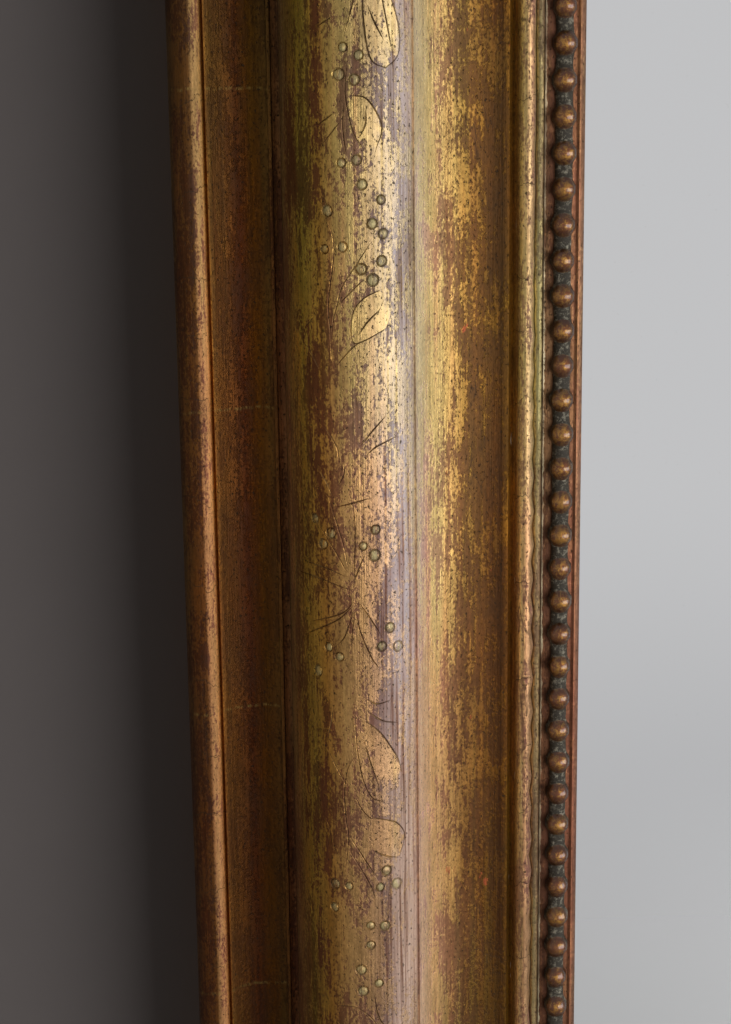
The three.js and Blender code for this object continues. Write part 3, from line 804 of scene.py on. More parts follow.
# A D of round wire: a straight bar, two rounded corners and a deep bow, and at each point of
# that way a circle of the wire's radius.
def addRing(node, side, body, material):
    w, c, gap = hangers["halfWidth"], hangers["corner"], hangers["joint"] / 2
    handle = c + (hangers["drop"] - c) * 4 / 3
    share = np.linspace(0, 1, 7)[:, None] ** 0.5
    bar = np.array((gap, 0)) * (1 - share) + np.array((w - c, 0)) * share
    t = np.linspace(0, 1, 13)[:, None]
    bend = (1 - t) ** 2 * (w - c, 0) + 2 * t * (1 - t) * np.array((w, 0)) + t**2 * (w, -c)
    t = np.linspace(0, 0.5, 25)[:, None]
    bow = ((1 - t) ** 3 * (w, -c) + 3 * t * (1 - t) ** 2 * np.array((w, -handle))
           + 3 * t**2 * (1 - t) * np.array((-w, -handle)) + t**3 * (-w, -c))
    half = np.vstack([bar, bend[1:], bow[1:]])
    way = np.vstack([half, (half * (-1, 1))[::-1][1:]])
    a = np.linspace(0, 2 * pi, hangers["around"] + 1)[:-1]
    wear = 1 + waves(np.arange(len(way)) / hangers["wornWave"], np.full(len(way), float(side)))
    radius = hangers["wire"] / 2 * (1 - hangers["worn"] * wear)
    flat = way[:, None] + normalsOf(way)[:, None] * (radius[:, None] * np.cos(a))[..., None]
    points = np.stack([side * hangers["x"] + flat[..., 0],
                       hangers["y"] + radius[:, None] * np.sin(a), hangers["z"] + flat[..., 1]], -1)
    points = points.reshape(-1, 3)
    thing = buildPiece(node + "_wire", points, tubeFaces(len(points), len(a)), [material])
    return dress(thing, node, body)


worn = {
    "backboard": 0.7, "batten": 1.2, "block": 0.5, "tongue": 0.4, "strap": 0.3, "nail": 0.22,  # mm
    "joined": 1e-6,  # metres between corners that become one
    "flat": 1,  # degrees
    "sharp": 40,
    "rubbedFrom": 35,
}


def joinUp(shell):
    bmesh.ops.remove_doubles(shell, verts=shell.verts, dist=worn["joined"])
    flat = radians(worn["flat"])
    bmesh.ops.dissolve_limit(shell, angle_limit=flat, verts=shell.verts, edges=shell.edges)


# A copy of a CAD node with its triangles joined up and its edges rubbed down.
def addWorn(node, kind, material):
    mesh = nodes[node].data.copy()
    refine(mesh, worn["sharp"], [joinUp])
    mesh.materials.clear()
    mesh.materials.append(material)
    thing = addObject(node + "_worn", mesh)
    bevel = thing.modifiers.new("rubbed edges", "BEVEL")
    bevel.width = worn[kind] * mm
    bevel.segments = 2
    bevel.limit_method = "ANGLE"
    bevel.angle_limit = radians(worn["rubbedFrom"])
    return dress(thing, node)


gilt = {
    "leafShare": (1.37, 1.42, 1.25),  # the leaf's and the worn ground's colours, against the mean
    "groundShare": (0.70, 0.56, 0.71),
    "bloomAndSheen": (0.50, 0.42, 0.42),  # greyish lilac where the leaf has thinned, with a painted sheen of the light on it
    "warmBloomAndSheen": (0.60, 0.42, 0.32),
    "patina": (0.030, 0.017, 0.008),
    "cut": (0.085, 0.042, 0.018),  # the colour a cut is darkened to, and where it is still gilded
    "cutGold": (0.34, 0.22, 0.085),
    "chalk": (0.44, 0.37, 0.17),  # on the berries
    "lap": (0.26, 0.18, 0.05),
    "chip": (0.72, 0.66, 0.52),
    "cream": (0.42, 0.35, 0.22),
    "red": (0.36, 0.07, 0.03),
    "bole": (0.17, 0.05, 0.022),
    "warm": (1.09, 0.93, 0.82),  # slow shifts of the gilding's colour along the run
    "cool": (0.97, 1.02, 0.84),
    "hueSwing": (0.77, 0.5),  # where it turns from warm to cool, and the wave's length, in metres
    "paintedLightSwing": (0.78, 0.31),  # painted light along the run: where it is brightest, and the wave's length
    "lapPitch": 0.0778,  # metres between the leaves' laps
    "lapShift": 0.0428,
    "crackSpacing": 0.021,
    "noises": {  # times per metre along and across, detail, roughness
        "ragged": (500, 500), "mottle": (260, 900, 4, 0.7), "cloud": (45, 130, 5, 0.65),
        "slow": (6, 22), "hue": (10, 420), "red": (90, 190, 4, 0.6), "bare": (14, 120, 4),
        "chips": (75, 600),
    },
    "bands": {  # the widths in mm that each mark keeps to
        "outerRib": (0, 8.4), "laps": (1, 24), "bare": (27, 50), "red": (62, 82),
        "outerCracks": (0, 9), "coveCracks": (70, 83), "innerCracks": (83, 88),
        "splits": (60, 88), "chips": (81.8, 83.6), "cream": (90.1, 90.6), "seat": (90.7, 92.8),
    },
    "bareFade": (34, 50),
}

# By width in mm: how worn the leaf is, how much grime lies on it, how much bloom and painted
# sheen it shows, and how clearly its patches stand out.
giltZones = [
    (0, (0.5, 0.25, 0, 0.4)), (5.2, (0.5, 0.2, 0, 0.8)), (5.7, (0.42, 0.1, 0, 1)),
    (7.6, (0.44, 0.1, 0, 1)), (8.4, (0.6, 0.3, 0, 0.3)), (12, (0.5, 0.15, 0, 0.25)),
    (22, (0.5, 0.15, 0, 0.2)), (24, (0.4, 0.1, 0, 0.6)), (26, (0.5, 0.2, 0, 0.5)),
    (30, (0.5, 0.12, 0, 0.95)), (36, (0.5, 0.1, 0, 0.95)), (40, (0.48, 0.08, 0, 0.95)),
    (48, (0.48, 0.1, 0.1, 1)), (52, (0.5, 0.05, 0.5, 1)), (55, (0.55, 0, 0.85, 0.9)),
    (57.3, (0.5, 0, 0.6, 0.6)), (58, (0.5, 0.12, 0.1, 0.3)), (59, (0.38, 0.1, 0.2, 0.8)),
    (62, (0.42, 0.1, 0, 0.85)), (68, (0.5, 0.12, 0, 0.8)), (75, (0.58, 0.2, 0, 0.55)),
    (80, (0.55, 0.25, 0, 0.5)), (83, (0.5, 0.2, 0, 0.4)), (85, (0.5, 0.1, 0, 0.7)),
    (86.5, (0.4, 0.1, 0, 0.9)), (88.2, (0.5, 0.1, 0, 0.5)), (91.5, (0.5, 0.2, 0, 0.4)),
    (97.5, (0.6, 0.3, 0, 0.4)), (100, (0.6, 0.15, 0, 0.4)),
]
# The gilding's mean colour at each width, with painted light in it: painted highlights on the outer rib's
# inner flank, the cove's top and the inner rib, and painted shade, besides darker patina, on the outer rib's
# outer part, in the scotia and at the cove's foot.
giltTonesWithPaintedLight = [
    (0, (0.42, 0.31, 0.15)), (2, (0.075, 0.028, 0.008)), (5.3, (0.06, 0.02, 0.002)),
    (7, (0.50, 0.27, 0.14)), (7.7, (0.66, 0.34, 0.15)), (8.4, (0.43, 0.16, 0.01)),
    (9.4, (0.125, 0.057, 0.014)), (16, (0.04, 0.0095, 0.0005)), (20, (0.068, 0.026, 0.001)),
    (23.5, (0.085, 0.043, 0.011)), (25.5, (0.095, 0.035, 0.013)), (27.5, (0.44, 0.28, 0.13)),
    (31, (0.32, 0.225, 0.044)), (36, (0.25, 0.128, 0.028)), (41, (0.32, 0.20, 0.088)),
    (48, (0.138, 0.084, 0.05)), (56.5, (0.25, 0.166, 0.085)), (59, (0.84, 0.66, 0.54)),
    (62, (0.63, 0.43, 0.24)), (66, (0.30, 0.18, 0.078)), (70, (0.137, 0.073, 0.022)),
    (75, (0.103, 0.048, 0.01)), (80.3, (0.054, 0.022, 0.0024)), (82.5, (0.28, 0.132, 0.018)),
    (84.6, (0.50, 0.36, 0.17)), (86, (0.20, 0.116, 0.067)), (87.3, (0.39, 0.26, 0.17)),
    (88.5, (0.335, 0.273, 0.154)), (90, (0.035, 0.015, 0.005)), (97.6, (0.46, 0.22, 0.13)),
    (98.7, (0.35, 0.163, 0.09)), (99.4, (0.20, 0.11, 0.075)),
]


# Gold leaf that is rubbed away in patches with grainy edges, with thin lengthwise streaks,
# pinholes, and brighter laps where one leaf lies over the next.
def makeLeafGroup():
    tree, given, end = newGroup(
        "goldLeaf", {"Run": "Vector", "Wear": "Float", "Contrast": "Float"},
        {"Leaf": "Float", "Streak": "Float", "Grain": "Float", "Pits": "Float", "Lap": "Float",
         "Height": "Float"})
    run = given["Run"]
    large = runNoise(tree, run, 30, 75, 3, 0.6, 0.6)
    middle = runNoise(tree, run, 120, 340, 5, 0.7, 0.3)
    grain = runNoise(tree, run, 900, 1300, 3, 0.7)
    streak = runNoise(tree, run, 24, 900, 4, 0.6)
    fine = runNoise(tree, run, 70, 3200, 2, 0.5)
    cover = sumOf(tree, 0.0, ((large, 0.6), (middle, 0.6), (grain, 0.5), (streak, 0.3)))
    bareness = scaled(tree, given["Wear"], 0.6, 0.7)
    clear = stepOf(tree, calc(tree, "SUBTRACT", cover, bareness), -0.055, 0.045)
    leaf = put(tree, "Mix", {0: given["Contrast"], 2: 0.5, 3: clear}).outputs[0]
    pits = stepOf(tree, runNoise(tree, run, 1000, 1400, 3, 0.6), 0.6, 0.67)
    wobble = productOf(tree, runNoise(tree, run, 60, 200, 2), 0.002)
    place = calc(tree, "ADD", axesOf(tree, run)[0], wobble)
    place = calc(tree, "ADD", place, gilt["lapShift"])
    place = calc(tree, "FRACT", calc(tree, "DIVIDE", place, gilt["lapPitch"]))
    off = calc(tree, "ABSOLUTE", calc(tree, "SUBTRACT", place, 0.5))
    heights = ((clear, 0.25), (fine, 0.4), (streak, 0.5), (grain, 0.45), (pits, -0.6))
    feed(tree, end, {
        "Leaf": leaf, "Streak": streak, "Grain": grain, "Pits": pits,
        "Lap": inverse(tree, stepOf(tree, off, 0.0, 0.008)),
        "Height": sumOf(tree, 0.0, heights),
    })
    return tree


# Hairline cracks: straight ones across the run at uneven places, and wandering ones along it.
def makeCrackGroup():
    tree, given, end = newGroup("hairlines", {"Run": "Vector", "Spacing": "Float"},
                                {"Across": "Float", "Along": "Float"})
    run = given["Run"]
    bent = runNoise(tree, run, 20, 160)
    place = calc(tree, "ADD", axesOf(tree, run)[0], productOf(tree, bent, 0.012))
    place = calc(tree, "DIVIDE", place, given["Spacing"])
    cell = put(tree, "TexVoronoi", {"W": place, "Scale": 1.0},
               voronoi_dimensions="1D", feature="DISTANCE_TO_EDGE").outputs["Distance"]
    apart = productOf(tree, cell, given["Spacing"])
    field = runNoise(tree, run, 11, 75, 5, 0.6, 0.5)
    off = calc(tree, "ABSOLUTE", calc(tree, "SUBTRACT", field, 0.55))
    line = inverse(tree, stepOf(tree, off, 0.0, 0.009))
    feed(tree, end, {
        "Across": inverse(tree, stepOf(tree, apart, 0.0, 0.00022)),
        "Along": productOf(tree, line, stepOf(tree, runNoise(tree, run, 30, 60), 0.46, 0.56)),
    })
    return tree


# Grime that gathers in patches, with a fine grain in it.
def makeGrimeGroup():
    tree, given, end = newGroup("grime", {"Place": "Vector", "Amount": "Float"}, {"Grime": "Float"})
    patch = noiseOf(tree, given["Place"], 60, 5, 0.6)
    fine = noiseOf(tree, given["Place"], 700, 3, 0.6)
    both = scaled(tree, fine, 0.3, productOf(tree, patch, 0.7))
    value = calc(tree, "ADD", calc(tree, "SUBTRACT", both, 0.5), given["Amount"], clamp=True)
    feed(tree, end, {"Grime": value})
    return tree


# Planed softwood, the grain running along the first axis of the place.
def makeGrainGroup():
    tree, given, end = newGroup(
        "woodGrain", {"Place": "Vector", "Light": "Color", "Dark": "Color", "Stain": "Color"},
        {"Color": "Color", "Height": "Float", "Roughness": "Float"})
    place = given["Place"]
    bend = runNoise(tree, place, 1.6, 14, 3, 0.5)
    axes = axesOf(tree, place)
    reach = sumOf(tree, productOf(tree, axes[1], 190.0), ((bend, 16.0), (axes[2], 130.0)))
    late = calc(tree, "POWER", calc(tree, "FRACT", reach), 3.0)
    fibre = runNoise(tree, place, 30, 1800, 3, 0.6)
    stain = stepOf(tree, runNoise(tree, place, 5, 16, 4, 0.6), 0.45, 0.75)
    tone = scaled(tree, fibre, 0.5, productOf(tree, late, 0.55))
    colour = blendOf(tree, tone, given["Light"], given["Dark"])
    feed(tree, end, {
        "Color": blendOf(tree, productOf(tree, stain, 0.5), colour, given["Stain"]),
        "Height": scaled(tree, late, 0.4, fibre),
        "Roughness": scaled(tree, fibre, 0.2, 0.68),
    })
    return tree


leafGroup, crackGroup = makeLeafGroup(), makeCrackGroup()
grimeGroup, grainGroup = makeGrimeGroup(), makeGrainGroup()


def makeGilding():
    material, tree, shader = newMaterial("worn_gilding")
    run = runPlace(tree)
    span = acrossOf(moulding["faceWidth"])
    axes = axesOf(tree, run)
    across = calc(tree, "DIVIDE", axes[1], span)
    noise = {label: runNoise(tree, run, *spec) for label, spec in gilt["noises"].items()}
    mottle, cloud, slow = noise["mottle"], noise["cloud"], noise["slow"]
    # the bands' edges waver by a fifth of a millimetre
    wavering = scaled(tree, calc(tree, "SUBTRACT", noise["ragged"], 0.5), 0.006, across)

    def bandOf(low, high):
        start, end = acrossOf(low) / span, acrossOf(high) / span
        return productOf(tree, calc(tree, "GREATER_THAN", wavering, start),
                         calc(tree, "LESS_THAN", wavering, end))

    def byWidth(table):
        return rampOf(tree, across, [(acrossOf(width) / span, value) for width, value in table])

    band = {label: bandOf(*ends) for label, ends in gilt["bands"].items()}
    zones = byWidth(giltZones)
    wear, dirt, bloomAndSheen = put(tree, "SeparateColor", {0: zones[0]}).outputs
    whole = valueOf(tree, "gold")
    wear = scaled(tree, whole, -0.3, wear)
    leaf = useGroup(tree, leafGroup, {"Run": run, "Wear": wear, "Contrast": zones[1]})
    cover = blendOf(tree, leaf["Leaf"], gilt["groundShare"], gilt["leafShare"])
    # the mean colour by width, with its painted highlights and painted shade
    colour = blendOf(tree, 1.0, byWidth(giltTonesWithPaintedLight)[0], cover, "MULTIPLY")
    bent = scaled(tree, slow, 0.16, axes[0])

    # a wave along the run, bent by noise, whose turning place and length are given
    def swingOf(middle, apart):
        way = productOf(tree, calc(tree, "SUBTRACT", bent, middle + 0.08), 2 * pi / apart)
        return calc(tree, "SINE", way)

    # painted light that is lighter and darker along the run, and lighter and darker in the grain of the leaf
    middle, apart = gilt["paintedLightSwing"]
    paintedLightSwing = swingOf(middle - apart / 4, apart)
    tone = sumOf(tree, -0.95, ((leaf["Grain"], 1.1), (leaf["Streak"], 0.8), (mottle, 1.1), (cloud, 0.9)))
    tone = productOf(tree, tone, scaled(tree, paintedLightSwing, 0.13, 1.0), scaled(tree, whole, 0.16, 1.0))
    colour = put(tree, "VectorMath", {0: colour, "Scale": tone}, operation="SCALE").outputs[0]
    cool = sumOf(tree, slow, ((noise["hue"], 0.8), (swingOf(*gilt["hueSwing"]), 0.13)))
    shift = blendOf(tree, stepOf(tree, cool, 0.72, 1.08), gilt["warm"], gilt["cool"])
    colour = blendOf(tree, 1.0, colour, shift, "MULTIPLY")

    # red spots in the cove, and bare bole on the swell's outer side
    red = productOf(tree, stepOf(tree, noise["red"], 0.69, 0.72), band["red"], 0.6)
    colour = blendOf(tree, red, colour, gilt["red"])
    fade = stepOf(tree, across, *(acrossOf(width) / span for width in gilt["bareFade"]))
    bare = productOf(tree, band["bare"], inverse(tree, fade), stepOf(tree, noise["bare"], 0.47, 0.6))
    bare = productOf(tree, bare, scaled(tree, leaf["Leaf"], -0.9, 1.0, clamp=True), 0.65)
    colour = blendOf(tree, bare, colour, gilt["bole"])

    # bloom where the leaf has thinned, with a painted sheen of the light on it, and the laps in the scotia
    bloomSheenMask = productOf(tree, bloomAndSheen, stepOf(tree, leaf["Streak"], 0.3, 0.62),
                      scaled(tree, leaf["Leaf"], -0.55, 1.0), scaled(tree, whole, -0.6, 1.0))
    bloomSheenColour = blendOf(tree, stepOf(tree, paintedLightSwing, -1.0, 0.3), gilt["warmBloomAndSheen"], gilt["bloomAndSheen"])
    colour = blendOf(tree, bloomSheenMask, colour, bloomSheenColour)
    lap = productOf(tree, leaf["Lap"], band["laps"], leaf["Streak"], stepOf(tree, mottle, 0.42, 0.6), 0.7)
    colour = blendOf(tree, lap, colour, gilt["lap"])

    # the cuts, then dirt, pinholes and cracks, and a darker strip on the bead seat
    berry = valueOf(tree, "berry")
    shown = scaled(tree, stepOf(tree, mottle, 0.3, 0.5), 0.5, 0.5)
    shown = productOf(tree, scaled(tree, berry, -1.3, 1.0, clamp=True), shown)
    cut = productOf(tree, valueOf(tree, "cut"), shown, 0.95)
    groove = blendOf(tree, stepOf(tree, cloud, 0.47, 0.6), gilt["cut"], gilt["cutGold"])
    colour = blendOf(tree, cut, colour, groove)
    crack = useGroup(tree, crackGroup, {"Run": run, "Spacing": gilt["crackSpacing"]})
    rare = productOf(tree, stepOf(tree, slow, 0.58, 0.6), band["coveCracks"])
    places = calc(tree, "ADD", calc(tree, "ADD", band["outerCracks"], band["innerCracks"]), rare)
    dark = useGroup(tree, grimeGroup, {"Place": run, "Amount": dirt})["Grime"]
    marks = (
        (leaf["Pits"], 0.85),
        (productOf(tree, crack["Across"], places), 0.85),
        (productOf(tree, crack["Along"], band["splits"]), 0.6),
        (band["seat"], 0.35),
    )
    for part, share in marks:
        dark = calc(tree, "MAXIMUM", dark, productOf(tree, part, share), clamp=True)
    colour = blendOf(tree, dark, colour, gilt["patina"])

    # chalk on the berries, chips at the crease, and the cream line beside the bead seat
    chalky = productOf(tree, berry, stepOf(tree, mottle, 0.35, 0.65), 0.75)
    colour = blendOf(tree, chalky, colour, gilt["chalk"])
    chips = productOf(tree, stepOf(tree, noise["chips"], 0.68, 0.71), band["chips"])
    colour = blendOf(tree, chips, colour, gilt["chip"])
    cream = productOf(tree, band["cream"], stepOf(tree, cloud, 0.35, 0.7))
    colour = blendOf(tree, cream, colour, gilt["cream"])

    dull = calc(tree, "MAXIMUM", dark, calc(tree, "MAXIMUM", chalky, bloomSheenMask))
    shine = productOf(tree, scaled(tree, leaf["Leaf"], 0.5, 0.35), inverse(tree, dull),
                      scaled(tree, band["outerRib"], -0.6, 1.0))
    feed(tree, shader, {
        "Base Color": colour,
        "Metallic": shine,
        "Roughness": scaled(tree, shine, -0.2, 0.52),
        "Specular IOR Level": 0.07,
        "Coat Weight": productOf(tree, bloomSheenMask, 0.6),
        "Coat Roughness": 0.5,
        "Normal": bumpOf(tree, leaf["Height"], 0.5, 0.0003),
    })
    return material


pearl = {
    "bole": (0.12, 0.032, 0.004),
    "gold": (0.30, 0.137, 0.015),
    "dirt": (0.02, 0.012, 0.007),
    "paintedShade": (0.03, 0.012, 0.005),  # painted shade round each pearl's foot
    # a pale rim of dust, with a painted sheen
    "dust": (0.20, 0.16, 0.09),
    "crust": (0.028, 0.021, 0.012),  # between the pearls
    "grit": (0.25, 0.22, 0.16),
}


# Red-brown bole with flecks of gold on the pearls, painted shade round their feet, a pale rim of dust and
# painted sheen, and a gritty crust between them.
def makeBeadGilding():
    material, tree, shader = newMaterial("worn_pearls")
    run, rim = runPlace(tree), valueOf(tree, "rim")
    patch = noiseOf(tree, run, 850, 6, 0.8, 0.8)
    fine = noiseOf(tree, run, 2000, 3, 0.7)
    each = put(tree, "TexWhiteNoise", {"W": valueOf(tree, "order")}, noise_dimensions="1D").outputs["Value"]
    leafed = sumOf(tree, patch, ((each, 0.08), (fine, 0.3), (rim, -0.06)))
    colour = blendOf(tree, stepOf(tree, leafed, 0.64, 0.72), pearl["bole"], pearl["gold"])
    dirt = productOf(tree, stepOf(tree, fine, 0.56, 0.66), 0.7)
    colour = blendOf(tree, dirt, colour, pearl["dirt"])
    # painted shade round each pearl's foot
    colour = blendOf(tree, productOf(tree, stepOf(tree, rim, 0.35, 0.95), 0.65), colour, pearl["paintedShade"])
    # a pale rim round each pearl: dust, and a painted sheen
    dust = productOf(tree, stepOf(tree, rim, 0.86, 0.94), stepOf(tree, patch, 0.45, 0.6), 0.5)
    colour = blendOf(tree, dust, colour, pearl["dust"])
    crust = stepOf(tree, scaled(tree, fine, 0.12, rim), 0.99, 1.05)
    speck = stepOf(tree, noiseOf(tree, run, 640, 6, 0.85), 0.5, 0.6)
    colour = blendOf(tree, crust, colour, blendOf(tree, speck, pearl["crust"], pearl["grit"]))
    height = sumOf(tree, fine, ((patch, 0.8), (productOf(tree, crust, speck), 1.5)))
    feed(tree, shader, {
        "Base Color": colour,
        "Metallic": productOf(tree, inverse(tree, crust), 0.75),
        "Roughness": scaled(tree, crust, 0.45, 0.28),
        "Specular IOR Level": 0.4,
        "Coat Weight": scaled(tree, crust, -0.8, 0.8),
        "Coat Roughness": 0.12,
        "Normal": bumpOf(tree, height, 0.6, 0.0003),
    })
    return material


wood = {
    "frame": ((0.30, 0.17, 0.085), (0.16, 0.08, 0.038)),  # early and late wood
    "board": ((0.34, 0.20, 0.10), (0.19, 0.095, 0.045)),
    "batten": ((0.31, 0.18, 0.09), (0.17, 0.085, 0.04)),
    "oak": ((0.24, 0.14, 0.075), (0.12, 0.065, 0.032)),
    "stain": (0.045, 0.03, 0.02),
    "dirt": (0.03, 0.022, 0.015),
    "lying": (0, 0, 0),  # which way the grain runs
    "standing": (0, pi / 2, 0),
}


def makeWood(name, kind, turn, placeOf=objectPlace):
    material, tree, shader = newMaterial(name)
    place = put(tree, "Mapping", {"Vector": placeOf(tree), "Rotation": wood[turn]}).outputs[0]
    light, dark = wood[kind]
    grain = useGroup(tree, grainGroup, {"Place": place, "Light": light, "Dark": dark, "Stain": wood["stain"]})
    grime = useGroup(tree, grimeGroup, {"Place": place, "Amount": 0.12})["Grime"]
    feed(tree, shader, {
        "Base Color": blendOf(tree, grime, grain["Color"], wood["dirt"]),
        "Roughness": grain["Roughness"],
        "Normal": bumpOf(tree, grain["Height"], 0.45, 0.0004),
    })
    return material


ironwork = {"bare": (0.11, 0.10, 0.095), "rust": (0.17, 0.065, 0.028), "dirt": (0.02, 0.015, 0.012)}


def makeIron():
    material, tree, shader = newMaterial("rusty_iron")
    place = objectPlace(tree)
    rust = stepOf(tree, noiseOf(tree, place, 260, 5, 0.65), 0.4, 0.62)
    pocks = noiseOf(tree, place, 1500, 3, 0.6)
    grime = useGroup(tree, grimeGroup, {"Place": place, "Amount": 0.1})["Grime"]
    colour = blendOf(tree, rust, ironwork["bare"], ironwork["rust"])
    feed(tree, shader, {
        "Base Color": blendOf(tree, grime, colour, ironwork["dirt"]),
        "Metallic": scaled(tree, rust, -0.7, 0.85),
        "Roughness": scaled(tree, rust, 0.35, 0.42),
        "Normal": bumpOf(tree, calc(tree, "ADD", pocks, rust), 0.5, 0.0003),
    })
    return material


silvering = {"clear": (0.955, 0.955, 0.955), "clouded": (0.93, 0.935, 0.935), "dust": (0.5, 0.48, 0.44)}


def makeMirror():
    material, tree, shader = newMaterial("silvered_plate")
    place = objectPlace(tree)
    cloud = noiseOf(tree, place, 7, 4, 0.5)
    dust = stepOf(tree, noiseOf(tree, place, 900, 2, 0.5), 0.7, 0.8)
    colour = blendOf(tree, cloud, silvering["clear"], silvering["clouded"])
    feed(tree, shader, {
        "Base Color": blendOf(tree, productOf(tree, dust, 0.08), colour, silvering["dust"]),
        "Metallic": 1.0,
        "Roughness": scaled(tree, dust, 0.05, 0.015),
    })
    return material


studio = {
    "wall": (0.147, 0.126, 0.118),
    "wallDark": 0.92,  # the plaster's darker patches, against the rest
    "wallGap": 0.0006,  # metres behind the frame
    "wallReach": 8,  # the wall's size against the opening's
    "floor": (0.72, 0.71, 0.69),
    "floorHalf": 3,
    "floorGap": 0.0005,
    "floorFade": (0.5, 1.9),
    "backdrop": (0.567, 0.567, 0.576),
    "backdropLow": (0.46, 0.46, 0.47),  # towards the floor
    "backdropRise": (-0.42, -0.2),
    "inset": 30,  # mm from the frame's outline to the opening in the wall
    "close": 0.024,  # metres before the wall, within which it is clear
    "footing": 0.03,  # below this height the wall is there for what is close too
    "rear": (0.85, 0.85, 0.87),  # light from behind the wall
    "rearFrom": (0.0, 0.3),
    "keyPower": 51,
    "keyColour": (0.96, 0.98, 1),
    "keyPlace": (1.3, -1.45, 0.62),
    "keySize": (2.4, 1.2),
    "keyAim": (-0.2, 0, 0.75),
    # the room's light, from its left side through the front to its right side
    "room": [(0, 0.05), (0.35, 0.07), (0.49, 0.25), (0.54, 0.58), (0.66, 0.45), (1, 0.3)],
    "roomTint": (1, 1.003, 1.02),
    "roomFall": (0.2, -1.1),  # it falls off above and below this depth, by the square of the way
}


def addSheet(name, corners, faces, material):
    mesh = bpy.data.meshes.new(name)
    mesh.from_pydata(corners, [], faces)
    mesh.materials.append(material)
    addObject(name, mesh)


# The wall is there from its front only, and for what isn't close before it, so that it
# doesn't darken the back of the frame.
def makeWall():
    material, tree, shader = newMaterial("wall")
    place = objectPlace(tree)
    plaster = noiseOf(tree, place, 30, 5, 0.6)
    tint = studio["wall"]
    soft = blendOf(tree, plaster, tuple(studio["wallDark"] * c for c in tint), tint)
    feed(tree, shader, {"Base Color": soft, "Roughness": 0.85, "Specular IOR Level": 0.2})
    close = calc(tree, "LESS_THAN", put(tree, "LightPath").outputs["Ray Length"], studio["close"])
    offFloor = calc(tree, "GREATER_THAN", axesOf(tree, place)[2], studio["footing"])
    close = productOf(tree, close, offFloor)
    hidden = calc(tree, "MAXIMUM", put(tree, "NewGeometry").outputs["Backfacing"], close)
    clear = put(tree, "BsdfTransparent")
    both = put(tree, "MixShader", {0: hidden, 1: shader.outputs[0], 2: clear.outputs[0]})
    feed(tree, tree.nodes["Material Output"], {"Surface": both.outputs[0]})
    return material


# The floor thins out at its edge, so that it ends in the backdrop's colour.
def makeFloor():
    material, tree, shader = newMaterial("floor")
    reach = put(tree, "VectorMath", {0: objectPlace(tree)}, operation="LENGTH").outputs["Value"]
    alpha = inverse(tree, stepOf(tree, reach, *studio["floorFade"]))
    feed(tree, shader, {"Base Color": studio["floor"], "Roughness": 0.8, "Alpha": alpha})
    return material


# The wall has an opening that the frame hides, so that light reaches the frame's back: from
# each point of the opening's outline a strip of wall runs out to the wall's edge.
def addWall():
    a = np.linspace(0, pi / 2, 17)
    radius = cornerRadius - studio["inset"]
    arc = np.c_[arcX + radius * np.cos(a), arcZ + radius * np.sin(a)]
    half = np.vstack([(arcX + radius, 0), arc])
    outline = np.vstack([half, half[::-1] * (-1, 1)]) * mm
    flat = np.vstack([outline, studio["wallReach"] * outline])
    back = np.full(len(flat), cadBox[1].y + studio["wallGap"])
    count = len(outline)
    step = np.arange(count - 1)
    strips = np.c_[step, step + count, step + count + 1, step + 1]
    addSheet("wall", np.c_[flat[:, 0], back, flat[:, 1]].tolist(), strips.tolist(), makeWall())


def addFloor():
    half, low = studio["floorHalf"], -studio["floorGap"]
    corners = [(-half, -half, low), (half, -half, low), (half, half, low), (-half, half, low)]
    addSheet("floor", corners, [(0, 1, 2, 3)], makeFloor())


# The room lights the object, while the camera and mirrors see the plain backdrop.
def addRoom():
    world = bpy.data.worlds.new("studio")
    bpy.context.scene.world = world
    world.use_nodes = True
    tree = world.node_tree
    way = axesOf(tree, put(tree, "TexCoord").outputs["Generated"])
    stops = [(place, tuple(level * c for c in studio["roomTint"])) for place, level in studio["room"]]
    light = rampOf(tree, scaled(tree, way[0], 0.5, 0.5), stops)["Color"]
    depth, steepness = studio["roomFall"]
    fall = calc(tree, "POWER", calc(tree, "ABSOLUTE", calc(tree, "ADD", way[2], depth)), 2.0)
    fall = scaled(tree, fall, steepness, 1.0, clamp=True)
    grey = put(tree, "CombineColor", {0: fall, 1: fall, 2: fall}).outputs[0]
    light = blendOf(tree, 1.0, light, grey, "MULTIPLY")
    light = blendOf(tree, stepOf(tree, way[1], *studio["rearFrom"]), light, studio["rear"])
    rays = put(tree, "LightPath").outputs
    seen = calc(tree, "MAXIMUM", rays["Is Camera Ray"], rays["Is Glossy Ray"])
    seen = calc(tree, "MAXIMUM", seen, rays["Is Transmission Ray"])
    rise = stepOf(tree, way[2], *studio["backdropRise"])
    backdrop = blendOf(tree, rise, studio["backdropLow"], studio["backdrop"])
    feed(tree, tree.nodes["Background"], {"Color": blendOf(tree, seen, light, backdrop)})


def addLamp():
    key = bpy.data.lights.new("window", "AREA")
    key.shape = "RECTANGLE"
    key.size, key.size_y = studio["keySize"]
    key.energy = studio["keyPower"]
    key.color = studio["keyColour"]
    lamp = addObject("window", key)
    lamp.location = studio["keyPlace"]
    aim = Vector(studio["keyAim"]) - lamp.location
    lamp.rotation_euler = aim.to_track_quat("-Z", "Y").to_euler()
    return lamp


# The mirror doesn't show the lamp itself.
def hideLampFrom(lamp, thing):
    unlit = bpy.data.collections.new("not lit by the window")
    unlit.objects.link(thing)
    unlit.collection_objects[0].light_linking.link_state = "EXCLUDE"
    lamp.light_linking.receiver_collection = unlit


addCamera()
addWall()
addFloor()
addRoom()
hideLampFrom(addLamp(), nodes["mirror_plate"])
bpy.context.scene.view_settings.view_transform = "Standard"
print("camera and stage")

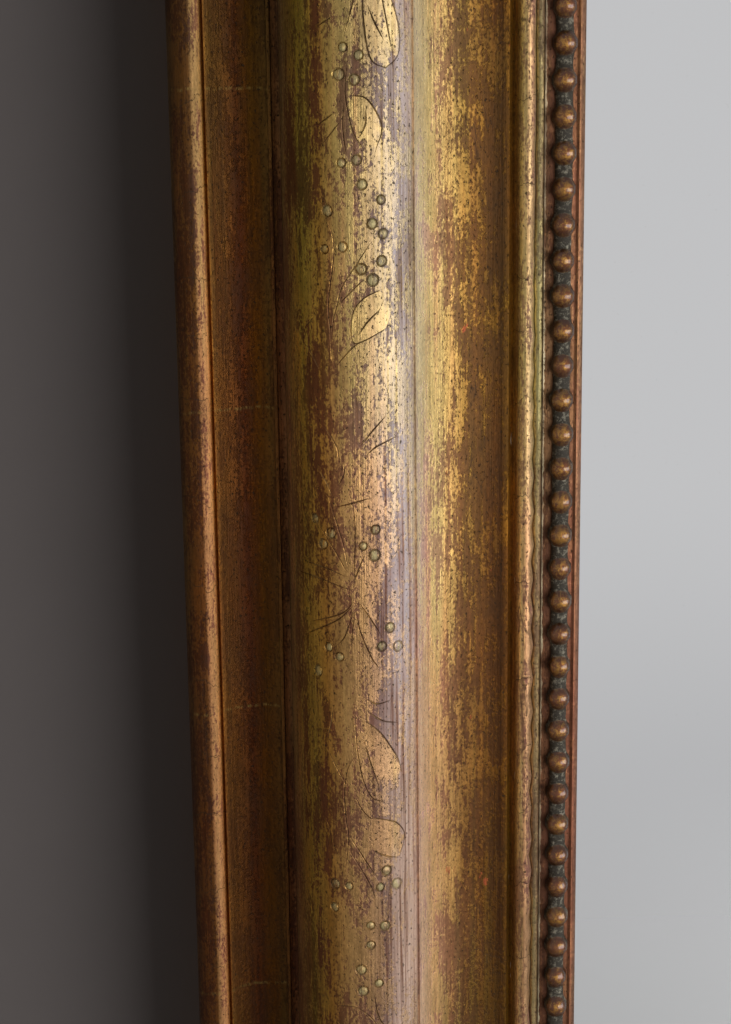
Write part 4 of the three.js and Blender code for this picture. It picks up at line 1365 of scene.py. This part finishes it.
gilding, pearls, iron = makeGilding(), makeBeadGilding(), makeIron()
memberWood = makeWood("frame_softwood", "frame", "lying", runPlace)
boardWood = makeWood("board_softwood", "board", "standing")
battenWood = makeWood("batten_softwood", "batten", "lying")
tongueWood = makeWood("tongue_oak", "oak", "standing")
print("finishes")

stileLength = arcZ - crestX
cornerLength = (cornerRadius - crestX) * pi / 2
memberFinishes = [gilding, memberWood]
sides = {"left": -1, "right": 1}
for word, side in sides.items():
    tiles = [(sprays, i % 2 == 1) for i in range(5)]
    addMember(word + "_stile", tiles, onStile(side), 0, stileLength, memberFinishes, axis=2)
    cornerTiles = [(sprigs, side > 0)]
    addMember(f"top_{word}_corner", cornerTiles, onCorner(side), arcZ, cornerLength, memberFinishes)
    print(word, "stile and corner")
bottomTiles = [(sprigs, flip) for flip in (True, False, True, False)]
bottomLength = 2 * (halfWidth - crestX)
addMember("bottom_rail", bottomTiles, onBottomRail, 0, bottomLength, memberFinishes, axis=0)
topTiles = [(sprigs, False), (sprays, True)]
addMember("top_rail", topTiles, onTopRail, arcZ + cornerLength, 2 * arcX, memberFinishes)
print("rails")

beadLine, pitch = beads["line"], beads["pitch"]
stileStart = beadLine + pitch / 2 + seam
stileRun = arcZ - seam - stileStart
cornerRun = (cornerRadius - beadLine) * pi / 2
bottomRun = 2 * (halfWidth - beadLine) + pitch
topRun = 2 * (arcX - seam)


def beadStile(side):
    return lambda u, h, share: np.stack(
        [side * (halfWidth - u), wallY - h, stileStart + share * stileRun], -1)


def beadRail(u, h, share):
    return np.stack([(share - 0.5) * bottomRun, wallY - h, u], -1)


for word, side in sides.items():
    addBeading(word + "_beading", round(stileRun / pitch) + 1, stileRun, beadStile(side), 0, pearls)
    addBeading(f"top_{word}_corner_beading", round(cornerRun / pitch), cornerRun, onCorner(side), 0, pearls)
addBeading("bottom_beading", round(bottomRun / pitch), bottomRun, beadRail, 0, pearls)
addBeading("top_beading", round(topRun / pitch), topRun, onTopRail, 0, pearls)
print("beading")

nodes["mirror_plate"].material_slots[0].material = makeMirror()
for name in nodes:
    if name.endswith("backboard"):
        addWorn(name, "backboard", boardWood)
    elif name.endswith("batten"):
        addWorn(name, "batten", battenWood)
    elif "glazing_block" in name:
        lying = name.startswith(("bottom_", "top_"))
        addWorn(name, "block", battenWood if lying else boardWood)
    elif name.endswith("tongue"):
        addWorn(name, "tongue", tongueWood)
    elif name.endswith("strap"):
        addWorn(name, "strap", iron)
    elif "nail" in name or name.endswith("screw"):
        addWorn(name, "nail", iron)
for word, side in sides.items():
    addRing(word + "_hanger_ring", side, word + "_ring", iron)
print("back and hangers")
